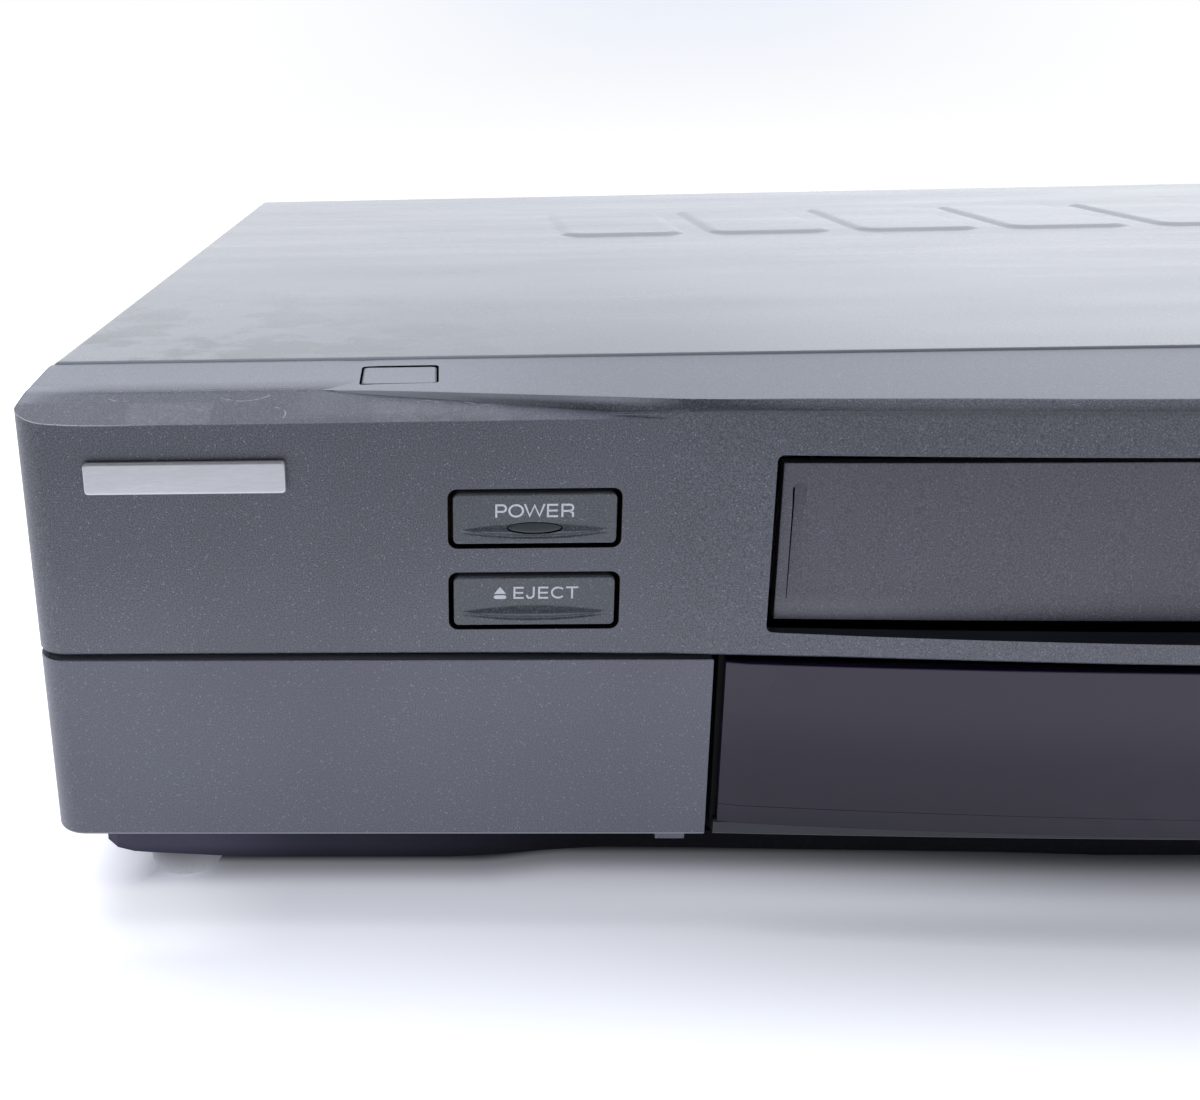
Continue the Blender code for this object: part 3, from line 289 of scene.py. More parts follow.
def cover_paint():
    f = Finish("paint_cover")
    fine = f.noise(2600.0, 2.0, 0.6)
    cloud = f.noise(14.0, 4.0, 0.6)
    streak = f.noise(9.0, 3.0, 0.6, f.scaled((1.0, 6.0, 1.0)))
    tone = f.span(fine, 0.3, 0.7, smooth=False)
    colour = f.mix(tone, (0.168, 0.178, 0.204), (0.220, 0.232, 0.264))
    colour = f.mix(f.span(cloud, 0.38, 0.72, 0.0, 0.25), colour, (0.135, 0.146, 0.160))
    x, v, z = f.axes()
    # handled corner, where dust and marks show as darker mottling
    corner = f.math("MULTIPLY", f.span(x, -110.0, -205.0), f.span(v, 120.0, 30.0))
    blotch = f.math("MULTIPLY", f.span(f.noise(75.0, 4.0, 0.62), 0.44, 0.60), f.span(z, 60.0, 90.0, 0.3, 1.0))
    colour = f.mix(f.math("MULTIPLY", f.math("MULTIPLY", corner, blotch), 0.55), colour, (0.080, 0.090, 0.096))
    shade_in = f.math("MULTIPLY", f.window(f.math("MULTIPLY_ADD", cloud, 40.0, x), -135.0, -90.0, 34.0), f.window(v, 30.0, 70.0, 26.0))
    colour = f.mix(f.math("MULTIPLY", shade_in, 0.30), colour, (0.10, 0.11, 0.13))
    # painted highlight: the turned front edge beside the seam is made pale, more towards the left
    lip = f.math("MULTIPLY", f.math("MULTIPLY", f.span(v, 24.95, 24.7), f.span(f.normal_up(), 0.85, 0.5)), f.math("MULTIPLY", f.span(x, -60.0, -190.0, 0.5, 1.0), f.span(z, 82.0, 89.0, 0.25, 1.0)))
    colour = f.mix(lip, colour, (0.60, 0.62, 0.68))
    speck = f.span(f.cells(210.0), 0.045, 0.02)
    colour = f.mix(f.math("MULTIPLY", speck, 0.5), colour, (0.55, 0.56, 0.58))
    rough = f.blend(streak, 0.20, 0.30)
    f.set(Base_Color=colour, Roughness=rough, Metallic=0.0)
    f.shader.inputs["Specular IOR Level"].default_value = 0.7
    f.bump(fine, 0.00002, 0.45)
    return f.mat


def plastic(name, colour, rough, grain=900.0, depth=0.00003, vary=0.25, spec=0.5):
    f = Finish(name)
    fine = f.noise(grain, 3.0, 0.6)
    cloud = f.noise(35.0, 3.0, 0.6)
    c = f.mix(f.span(cloud, 0.35, 0.68, 0.0, 1.0), colour, tuple(min(1.0, (1.0 + vary) * q + 0.004) for q in colour))
    c = f.mix(f.span(fine, 0.55, 0.75, 0.0, 0.2), c, tuple(min(1.0, 1.4 * q + 0.01) for q in colour))
    f.set(Base_Color=c, Roughness=f.blend(cloud, rough - 0.06, rough + 0.06))
    f.shader.inputs["Specular IOR Level"].default_value = spec
    f.bump(fine, depth, 0.6)
    return f.mat


def metal(name, colour, rough, scale=(1.0, 1.0, 1.0), grain=260.0, metallic=1.0, depth=0.00001):
    f = Finish(name)
    brushed = f.noise(grain, 4.0, 0.65, f.scaled(scale))
    cloud = f.noise(30.0, 3.0, 0.6)
    c = f.mix(f.span(brushed, 0.3, 0.7), tuple(0.86 * q for q in colour), colour)
    c = f.mix(f.span(cloud, 0.5, 0.75, 0.0, 0.25), c, tuple(0.72 * q for q in colour))
    f.set(Base_Color=c, Roughness=f.blend(brushed, rough - 0.05, rough + 0.08), Metallic=metallic)
    f.bump(brushed, depth, 0.4)
    return f.mat


def smoked():
    f = Finish("smoked_acrylic")
    smear = f.noise(38.0, 3.0, 0.6, f.scaled((0.6, 1.0, 1.3)), 0.5)
    haze = f.span(smear, 0.48, 0.72)
    fine = f.noise(600.0, 2.0)
    x, v, z = f.axes()
    fade = f.span(z, 20.0, 50.0)
    colour = f.mix(fade, (0.004, 0.001, 0.012), (0.008, 0.003, 0.019))
    colour = f.mix(f.math("MULTIPLY", haze, 0.16), colour, (0.060, 0.052, 0.085))
    f.set(Base_Color=colour, Roughness=f.blend(haze, 0.10, 0.24))
    f.shader.inputs["IOR"].default_value = 1.42
    f.bump(fine, 0.000004, 0.2)
    return f.mat


def white_print():
    f = Finish("white_print")
    fine = f.noise(2500.0, 2.0)
    f.set(Base_Color=f.mix(f.span(fine, 0.35, 0.65), (0.50, 0.52, 0.56), (0.60, 0.62, 0.66)), Roughness=f.blend(fine, 0.45, 0.6))
    return f.mat


def board_finish():
    f = Finish("board_laminate")
    weave = f.noise(900.0, 3.0)
    cloud = f.noise(45.0, 3.0)
    c = f.mix(f.span(weave, 0.35, 0.65), (0.20, 0.115, 0.040), (0.27, 0.165, 0.065))
    c = f.mix(f.span(cloud, 0.5, 0.7, 0.0, 0.4), c, (0.15, 0.085, 0.03))
    f.set(Base_Color=c, Roughness=f.blend(weave, 0.42, 0.6))
    f.bump(weave, 0.00003, 0.4)
    return f.mat


def chassis_finish():
    """Black moulding, with painted light towards its ends and painted shade along its lower edge."""
    f = Finish("chassis_black")
    fine = f.noise(900.0, 3.0, 0.6)
    x, v, z = f.axes()
    out_x = f.math("ABSOLUTE", x)
    # painted light: paler towards the ends, where the table lights it, darkest in the middle
    level = f.math("ADD", f.span(out_x, 125.0, 175.0, 0.05, 0.45), f.span(out_x, 170.0, 196.0, 0.0, 0.55))
    colour = f.mix(level, (0.0004, 0.0005, 0.001), (0.074, 0.072, 0.108))
    # painted shade: darker towards its lower edge
    colour = f.mix(f.span(z, 12.6, 9.9, 0.0, 0.5), colour, (0.0004, 0.0005, 0.001))
    colour = f.mix(f.span(fine, 0.5, 0.75, 0.0, 0.12), colour, (0.03, 0.03, 0.04))
    f.set(Base_Color=colour, Roughness=f.blend(fine, 0.6, 0.7))
    f.shader.inputs["Specular IOR Level"].default_value = 0.04
    f.bump(fine, 0.00003, 0.6)
    return f.mat


def rubber_finish():
    """Pale grey rubber, with a painted gradient of light and shade over its height."""
    f = Finish("grey_rubber_fine")
    fine = f.noise(1400.0, 3.0, 0.6)
    x, v, z = f.axes()
    # painted light and shade: very pale at the bottom, near black up under the case
    colour = f.mix(f.math("POWER", f.span(z, 9.2, 0.6, smooth=False), 2.0), (0.014, 0.015, 0.019), (0.80, 0.81, 0.84))
    colour = f.mix(f.span(fine, 0.45, 0.75, 0.0, 0.2), colour, (0.30, 0.31, 0.34))
    f.set(Base_Color=colour, Roughness=f.blend(fine, 0.72, 0.82))
    f.bump(fine, 0.00004, 0.6)
    return f.mat


MAT["cover"] = cover_paint()
MAT["black"] = plastic("black_plastic_grained", (0.006, 0.0065, 0.009), 0.46, spec=0.28)
MAT["chassis"] = chassis_finish()
# inner_black is black plastic; on the walls that the cutters open in the painted front it also stands in for the shade
# in the narrow gaps
MAT["inner"] = plastic("inner_black", (0.003, 0.0032, 0.0042), 0.55, spec=0.12)
MAT["strip"] = plastic("strip_plastic", (0.020, 0.020, 0.027), 0.42, spec=0.4)
# the sill in the cassette opening: dark plastic, partly painted shade under the flap
MAT["sill"] = plastic("sill_dark", (0.005, 0.006, 0.011), 0.40, 1800.0, 0.00001, spec=0.3)
MAT["rubber"] = rubber_finish()
MAT["roller"] = plastic("black_rubber", (0.020, 0.020, 0.022), 0.6, 1400.0, 0.00002)
MAT["nylon"] = plastic("nylon_cream", (0.72, 0.70, 0.64), 0.38, 1200.0, 0.00001, 0.05)
MAT["zinc"] = metal("zinc_sheet", (0.56, 0.57, 0.56), 0.34, (1.0, 9.0, 1.0))
MAT["bright"] = metal("machined_bright", (0.78, 0.79, 0.80), 0.16, (1.0, 1.0, 14.0), 300.0)
MAT["badge"] = metal("satin_bar", (0.50, 0.50, 0.52), 0.30, (0.6, 8.0, 14.0), 900.0, 0.75, 0.000006)
MAT["screw"] = metal("screw_black", (0.045, 0.045, 0.048), 0.34, grain=900.0)
MAT["can"] = metal("tinned_can", (0.64, 0.65, 0.64), 0.30, (7.0, 1.0, 1.0))
MAT["smoked"] = smoked()
MAT["lens"] = plastic("lamp_lens_grey", (0.036, 0.045, 0.050), 0.34, 1500.0, 0.000006, 0.5)
MAT["print"] = white_print()
MAT["board"] = board_finish()
MAT["glass"] = plastic("display_tube", (0.010, 0.016, 0.016), 0.12, 700.0, 0.000004)


# ------------------------------------------------------------------ mesh tools
def bow(x):
    return BOW_V + BOW_K * x * x


def flap_v(x):
    """v of the flap's face, which bows a little less than the panel round it."""
    return -0.70 + x * x / 4370.0


def front_v(x):
    """v of the flat front at x, with its rounded plan corners."""
    dx = abs(x) - CORNER_X
    return 0.0 if dx <= 0 else CORNER_R - math.sqrt(max(0.0, CORNER_R ** 2 - dx ** 2))


def between(value, table):
    """Value read from a table of (where, what) pairs, straight between them."""
    if value <= table[0][0]:
        return table[0][1]
    for (a, fa), (b, fb) in zip(table, table[1:]):
        if value <= b:
            return fa + (fb - fa) * (value - a) / (b - a)
    return table[-1][1]


def make(name, bm, *mats):
    """An object from a bmesh whose points are x, v, z in mm."""
    bmesh.ops.recalc_face_normals(bm, faces=bm.faces)
    mesh = bpy.data.meshes.new(name)
    bm.to_mesh(mesh)
    bm.free()
    mesh.transform(Matrix.Diagonal((0.001, 0.001, 0.001, 1)) @ Matrix.Translation((0, -MID_V, 0)))
    for mat in mats:
        mesh.materials.append(mat)
    ob = bpy.data.objects.new(name, mesh)
    scene.collection.objects.link(ob)
    return ob


def loft(name, sections, *mats, closed_ends=True):
    """Skins equal closed loops of (x, v, z)."""
    bm = bmesh.new()
    rows = [[bm.verts.new(p) for p in loop] for loop in sections]
    n = len(rows[0])
    for a, b in zip(rows, rows[1:]):
        for k in range(n):
            bm.faces.new((a[k], a[(k + 1) % n], b[(k + 1) % n], b[k]))
    if closed_ends:
        bm.faces.new(list(reversed(rows[0])))
        bm.faces.new(rows[-1])
    return make(name, bm, *mats)


def prism(name, loop, lo, hi, plane, *mats):
    """A closed outline extruded from lo to hi across its plane."""
    place = {"XV": lambda a, b, t: (a, b, t), "XZ": lambda a, b, t: (a, t, b), "VZ": lambda a, b, t: (t, a, b)}[plane]
    return loft(name, [[place(a, b, lo) for a, b in loop], [place(a, b, hi) for a, b in loop]], *mats)


def block(name, x0, x1, v0, v1, z0, z1, *mats):
    return prism(name, [(x0, v0), (x1, v0), (x1, v1), (x0, v1)], z0, z1, "XV", *mats)


def disc(name, x, v, z, r, length, axis, sides, *mats, r2=None):
    loops = []
    for t, radius in ((0.0, r), (length, r if r2 is None else r2)):
        ring = []
        for k in range(sides):
            a = 2 * math.pi * k / sides
            c, s = radius * math.cos(a), radius * math.sin(a)
            ring.append({"Z": (x + c, v + s, z + t), "Y": (x + c, v + t, z + s), "X": (x + t, v + c, z + s)}[axis])
        loops.append(ring)
    return loft(name, loops, *mats)


def lathe(name, x, v, profile, sides, *mats):
    """A turned piece from (radius, z) points, about a vertical axis, closed top and bottom."""
    loops = [[(x + r * math.cos(2 * math.pi * k / sides), v + r * math.sin(2 * math.pi * k / sides), z)
              for k in range(sides)] for r, z in profile]
    return loft(name, loops, *mats)


def rounded(cx, cz, w, h, r, n=6):
    out = []
    for sx, sz, a0 in ((1, -1, -90), (1, 1, 0), (-1, 1, 90), (-1, -1, 180)):
        for k in range(n + 1):
            a = math.radians(a0 + 90 * k / n)
            out.append((cx + sx * (w / 2 - r) + r * math.cos(a), cz + sz * (h / 2 - r) + r * math.sin(a)))
    return out


def combine(base, steps):
    """Applies (how, object) boolean steps in order; a cutter's material goes to the faces it makes."""
    for how, other in steps:
        mod = base.modifiers.new("step", "BOOLEAN")
        mod.operation = {"-": "DIFFERENCE", "+": "UNION", "&": "INTERSECT"}[how]
        mod.object = other
        mod.solver = "EXACT"
        mod.material_mode = "TRANSFER"
    bpy.context.view_layer.update()
    mesh = bpy.data.meshes.new_from_object(base.evaluated_get(bpy.context.evaluated_depsgraph_get()))
    old = base.data
    base.modifiers.clear()
    base.data = mesh
    bpy.data.meshes.remove(old)
    for _, other in steps:
        data = other.data
        bpy.data.objects.remove(other, do_unlink=True)
        bpy.data.meshes.remove(data)
    return base


def shade(ob, angle=35.0, weighted=True):
    ob.data.shade_smooth()
    ob.data.set_sharp_from_angle(angle=math.radians(angle))
    if weighted:
        mod = ob.modifiers.new("normals", "WEIGHTED_NORMAL")
        mod.keep_sharp = True
        mod.weight = 60
    return ob


def bevel(ob, width, segments=2, angle=45.0):
    mod = ob.modifiers.new("edges", "BEVEL")
    mod.width = width * 0.001
    mod.segments = segments
    mod.limit_method = "ANGLE"
    mod.angle_limit = math.radians(angle)
    mod.harden_normals = False
    return ob


def soften(ob, pick, width, segments=2):
    """Rounds the mesh edges that pick(a, b, edge) chooses; a and b are (x, v, z) in mm."""
    bm = bmesh.new()
    bm.from_mesh(ob.data)
    chosen = []
    for edge in bm.edges:
        if len(edge.link_faces) != 2:
            continue
        ends = [(p.co.x * 1000, p.co.y * 1000 + MID_V, p.co.z * 1000) for p in edge.verts]
        if pick(ends[0], ends[1], edge):
            chosen.append(edge)
    bmesh.ops.bevel(bm, geom=chosen, offset=width * 0.001, segments=segments, profile=0.5, affect="EDGES",
                    clamp_overlap=True)
    bm.to_mesh(ob.data)
    bm.free()
    return ob


def finish(ob, body, replaced=()):
    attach(ob, body)
    if replaced:
        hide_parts(*([replaced] if isinstance(replaced, str) else replaced))
    return ob


# ------------------------------------------------------------------ front moulding
LEDGE = [(0.0, 87.6), (9.1, 90.066), (9.8, 90.24), (10.5, 90.385), (11.2, 90.51), (11.9, 90.62), (12.6, 90.72), (13.3, 90.80), (14.2, 90.88), (21.3, 91.485), (22.1, 91.545), (23.0, 91.57), (25.1, 91.57)]
CLIMB = [(202.0, 0.0), (205.0, 0.08), (207.5, 0.22), (209.7, 0.42), (211.2, 0.62), (212.4, 0.80), (213.4, 0.92), (214.2, 0.95), (215.0, 0.90)]


def facet_z(v):
    """Height of the top of the front: the slanted band, then a ledge that leans a little to the front."""
    return between(v, LEDGE)


def corner_lift(x, v):
    """The slanted band swells towards the rounded corner, where its lower edge climbs."""
    return facet_z(v) + between(abs(x), CLIMB) * between(v, [(0.0, 1.0), (5.3, 0.8), (9.1, 0.42), (12.6, 0.0)])


def side_drop(s, v):
    """The small round along the side of the ledge, s in from the side."""
    r = 0.35
    return 0.0 if s >= r else r - math.sqrt(max(0.0, r * r - (r - s) ** 2))


def sink(x, v):
    """Takes the ledge below the bowed middle's own top, so that only one of them shows."""
    return between(abs(x), [(0.0, 0.3), (152.0, 0.3), (166.0, 0.0)]) * max(0.0, min(1.0, (v - 9.5) / 2.0))


FACET_END = 9.1
BAND = [0.0, 0.12, 0.5, 1.2, 2.2, 3.4, 4.8, 6.0, 7.0, 8.0, 9.1, 9.8, 10.5, 11.2, 11.9, 12.6, 13.3, 14.2, 17.8, 21.3, 22.1, 23.0]


def front_stations():
    xs = [0.0]
    for s in (0.0, 0.02, 0.08, 0.2, 0.4, 0.7, 1.1, 1.5, 1.95, 2.4, 3.0, 3.6, 4.3, 5.0, 5.3, 6.5, 9.0, 12.0):
        xs += [HALF_W - s, s - HALF_W]
    for x in range(0, 200, 12):
        xs += [float(x), float(-x)]
    return sorted(set(xs))


sections = []
for x in front_stations():
    fv, s = front_v(x), HALF_W - abs(x)
    low = corner_lift(x, fv) - side_drop(s, fv)
    foot_z = between(abs(x), [(105.0, 50.12), (121.0, 50.12), (130.0, 50.3), (145.0, 50.42), (160.0, 50.45), (190.0, 50.5)])
    loop = [(x, fv + 0.3, foot_z), (x, fv, foot_z + 0.3), (x, fv, 70.0), (x, fv, low - 0.1)]
    for d in BAND:
        v = fv + d * (FACET_END - fv) / FACET_END if d <= FACET_END else d
        loop.append((x, v, corner_lift(x, v) - side_drop(s, v) - sink(x, v)))
    loop.append((x, SEAM_V - 0.6, facet_z(SEAM_V) - side_drop(s, SEAM_V) - sink(x, SEAM_V)))
    last = loop[-1][2]
    loop += [(x, SEAM_V - 0.12, last - 0.03), (x, SEAM_V, last - 0.16), (x, SEAM_V, 56.0), (x, 18.3, 56.0), (x, 18.3, foot_z)]
    sections.append(loop)
moulding = loft("front_moulding", sections, MAT["front"], MAT["edge"])
for face in moulding.data.polygons:
    ends = [moulding.data.vertices[i].co * 1000 for i in face.vertices]
    if all(p.z > 87.3 and p.y + MID_V < front_v(p.x) + 0.13 for p in ends) and min(p.x for p in ends) < -120.0:
        if max(p.z - corner_lift(p.x, front_v(p.x)) for p in ends) < 0.05:
            face.material_index = 1

# how far behind the bowed face the top edge of its chamfer lies
CHAMFER_RUN = [(0.0, 1.6), (60.0, 1.66), (73.0, 2.0), (86.7, 1.7), (100.0, 1.3), (107.0, 0.7), (114.0, 0.5), (118.0, 0.65), (122.0, 1.0), (127.0, 1.4), (133.0, 1.7), (142.0, 2.05), (149.0, 2.4), (156.6, 2.55), (164.0, 2.6), (172.0, 3.1)]
CHAMFER_SET = [(0.0, 0.0), (112.0, 0.0), (118.0, 0.4), (122.0, 0.8), (127.0, 1.25), (133.0, 1.5), (142.0, 1.85), (149.0, 2.2), (156.6, 2.35), (164.0, 2.4), (172.0, 2.9)]
sections = []
for k in range(61):
    x = -172.0 + 344.0 * k / 60.0
    b, run, back_in = bow(x), between(abs(x), CHAMFER_RUN), between(abs(x), CHAMFER_SET)
    dip = between(abs(x), [(0.0, 0.0), (160.0, 0.0), (172.0, 0.3)])
    edge_v, start = b + run + 0.3, 88.72 - 0.9 * min(1.0, back_in / 1.2)
    foot_z = between(abs(x), [(0.0, 50.2), (50.0, 50.27), (61.0, 50.38), (78.0, 50.47), (92.0, 50.5), (107.0, 50.3), (118.0, 50.12), (130.0, 50.3), (145.0, 50.42), (160.0, 50.45), (190.0, 50.5)]) + 0.004
    loop = [(x, b + 0.3, foot_z), (x, b, foot_z + 0.3), (x, b, start), (x, b + 0.5 * back_in, start + 0.16), (x, b + back_in, start + 0.34)]
    for t, q in ((0.10, 0.16), (0.26, 0.34), (0.5, 0.58), (0.74, 0.80), (0.88, 0.93), (1.0, 1.0)):
        loop.append((x, b + back_in + (run - back_in) * t, start + 0.34 + (90.41 - dip - start - 0.34) * q))
    loop.append((x, edge_v, 90.45 - dip))
    for t in (0.15, 0.3, 0.45, 0.6, 0.75, 0.9, 1.0):
        loop.append((x, edge_v + (22.0 - edge_v) * t, 90.45 + 1.08 * t - dip))
    loop += [(x, 23.0, 91.57 - dip), (x, SEAM_V - 0.6, 91.57 - dip), (x, SEAM_V - 0.13, 91.54 - dip), (x, SEAM_V - 0.01, 91.42 - dip), (x, SEAM_V - 0.01, 70.0), (x, 12.2, 70.0), (x, 12.2, foot_z)]
    sections.append(loop)
bowed = loft("bowed_middle", sections, MAT["front"])
hollow_half = [(209.0, 3.0), (210.6, 3.5), (211.6, 4.6), (212.0, 6.0), (212.0, 30.0)]
hollow = prism("hollow", [(-x, v) for x, v in reversed(hollow_half)] + hollow_half, 53.0, 87.9, "XV", MAT["inner"])
combine(moulding, [("+", bowed), ("-", hollow)])

ring_out = block("ring", -108.05, 108.05, 1.3, 3.3, 18.6, 54.0, MAT["inner"])
combine(ring_out, [("-", block("ring_hole", -98.0, 98.0, 0.0, 5.0, 25.0, 45.0, MAT["inner"]))])
lip_x = [-107.75 + 215.5 * k / 32.0 for k in range(33)]


def strip_v(x):
    """The strip under the window bows far less than the window over it."""
    return -2.05 + (x / 106.3) ** 2 * 2.1


strip = loft("strip", [[(x, strip_v(x) + 0.25, DOOR_Z0), (x, strip_v(x), DOOR_Z0 + 0.25), (x, strip_v(x), 20.45),
                        (x, strip_v(x) + 0.25, 20.7), (x, 2.0, 20.7), (x, 2.0, DOOR_Z0)] for x in lip_x], MAT["strip"])


def corner_plan(sign, v_back, inset=0.0):
    """Plan of one end of the front, from the inner end to the side, set back by inset."""
    pts = []
    for s in (5.3, 5.0, 4.3, 3.6, 3.0, 2.4, 1.95, 1.5, 1.1, 0.7, 0.4, 0.2, 0.08, 0.02, 0.0):
        x = HALF_W - s
        pts.append((sign * x, front_v(x) + inset))
    return pts


right_outer = [(109.1, 0.0)] + corner_plan(1, 0) + [(HALF_W, SEAM_V), (212.4, SEAM_V), (212.4, 6.4), (211.6, 4.4), (210.4, 3.1), (208.6, 2.6), (109.1, 2.6)]
right_panel = prism("right_panel", right_outer, DOOR_Z0, DOOR_Z1, "XV", MAT["door"])
steps = [("+", ring_out), ("+", strip),
         ("+", block("lip", -211.0, 211.0, 2.0, 18.0, 50.6, 53.2, MAT["inner"])),
         ("+", block("recess_back", -212.6, -104.0, 16.0, 18.0, 18.6, 52.0, MAT["inner"])),
         ("+", block("recess_floor", -212.6, -104.0, 7.0, 17.0, 18.6, 20.0, MAT["inner"])),
         ("+", block("recess_side", -HALF_W, -212.2, 6.75, SEAM_V, 18.6, 58.0, MAT["front"])),
         ("+", block("divider", -108.1, -105.7, 1.5, 17.0, 18.6, 52.0, MAT["inner"])),
         ("+", right_panel),
         ("+", block("right_back", 105.9, 212.9, 2.2, 4.6, 18.6, 53.0, MAT["inner"])),
         ("+", block("right_link", 212.6, 214.2, 7.4, SEAM_V - 0.2, 40.0, 60.0, MAT["inner"]))]
combine(moulding, steps)

def sill_z(v):
    return 54.25 + 0.18 * (v + 2.05)


def sill_back(x):
    """Where the sill ends and the dark gap below the flap begins."""
    return flap_v(x) - 1.9


mouth = prism("slot_mouth", rounded(0.0, (sill_z(2.0) + SLOT_Z1) / 2, 2 * SLOT_X, SLOT_Z1 - sill_z(2.0), 1.0, 5), -9.5, 12.0, "XZ", MAT["inner"])
fall_loops = []
for s in (0.0, 0.1, 0.3, 0.6, 1.0):
    lift = 1.0 - math.sqrt(1.0 - (1.0 - s) ** 2)
    for side in (-1, 1):
        fall_loops.append((side * (SLOT_X - s), lift))
fall = loft("sill_fall", [[(x, -9.5, sill_z(-9.5) + lift), (x, 2.2, sill_z(2.2) + lift), (x, 2.2, 60.0), (x, -9.5, 60.0)] for x, lift in sorted(fall_loops)], MAT["sill"])
gap_loops = []
for k in range(25):
    x = -SLOT_X + 2 * SLOT_X * k / 24.0
    gap_loops.append([(x, sill_back(x), 51.9), (x, 12.0, 51.9), (x, 12.0, 58.0), (x, sill_back(x), 58.0)])
steps = [("-", mouth), ("-", fall), ("-", loft("gap_cut", gap_loops, MAT["inner"]))]
for side in (-1, 1):
    x0, x1 = sorted((side * 101.0, side * 103.4))
    boss = block("boss", x0, x1, 2.6, 8.6, 76.0, 83.0, MAT["inner"])
    combine(boss, [("-", disc("bore", x0 - 1, *FLAP_AXIS, 1.35, 5.2, "X", 20, MAT["inner"]))])
    steps.append(("+", boss))
for cx, cz in CENTRES.values():
    w, h = BTN_W + 2 * BTN_GAP, BTN_H + 2 * BTN_GAP
    hole = loft("hole", [[(x, v, z) for x, z in rounded(cx, cz, w + 2 * grow, h + 2 * grow, BTN_R + 0.55 + grow, 6)]
                         for v, grow in ((-6.0, 0.3), (-0.3, 0.3), (0.0, 0.07), (0.07, 0.0), (12.0, 0.0))], MAT["inner"])
    steps.append(("-", hole))
steps.append(("-", prism("plug_hole", rounded(-157.0, 15.7, 12.3, 9.4, 0.8, 4), 85.0, 95.0, "XV", MAT["inner"])))
for x in (-190.0, -168.0, -146.0):
    steps.append(("-", disc("jack_hole", x, 12.0, 34.5, 6.3, 10.0, "Y", 32, MAT["inner"])))
combine(moulding, steps)


def slot_rim(a, b, edge):
    """Edges between the bowed front and the walls of the cassette opening."""
    for x, v, z in (a, b):
        if abs(v - bow(x)) > 0.12 or not 53.0 < z < 82.8 or abs(x) > 102.5:
            return False
    if max(abs(a[0]), abs(b[0])) < 100.3 and min(a[2], b[2]) < 80.0:
        return False
    return edge.calc_face_angle(0.0) > math.radians(45)


soften(moulding, slot_rim, 0.28, 2)
shade(moulding, 32.0)
finish(moulding, "recorder", "front_panel")

# small insert let into the ledge
plug_loops = []
for z, grow in ((88.0, 0.0), (90.55, 0.0), (90.87, -0.06), (90.95, -0.28)):
    plug_loops.append([(x, v, z + 0.07 * (v - 15.7)) for x, v in rounded(-157.0, 15.7, 11.7 + 2 * grow, 8.8 + 2 * grow, 0.6, 4)])
plug = loft("ledge_insert", plug_loops, MAT["front"])
shade(plug, 30.0)
finish(plug, "recorder", "ledge_plug")

# plain satin bar in the name badge's place
bar_loops = []
for v, grow in ((-0.3, 0.0), (-0.85, 0.0), (-1.08, -0.12), (-1.2, -0.42)):
    bar_loops.append([(x, v, z) for x, z in rounded(-188.8, 79.6, 30.35 + 2 * grow, 5.0 + 2 * grow, 0.6 + min(0, grow) * 0.5, 4)])
bar = loft("badge_bar", bar_loops, MAT["badge"])
shade(bar, 25.0)
finish(bar, "recorder", "badge_plate")


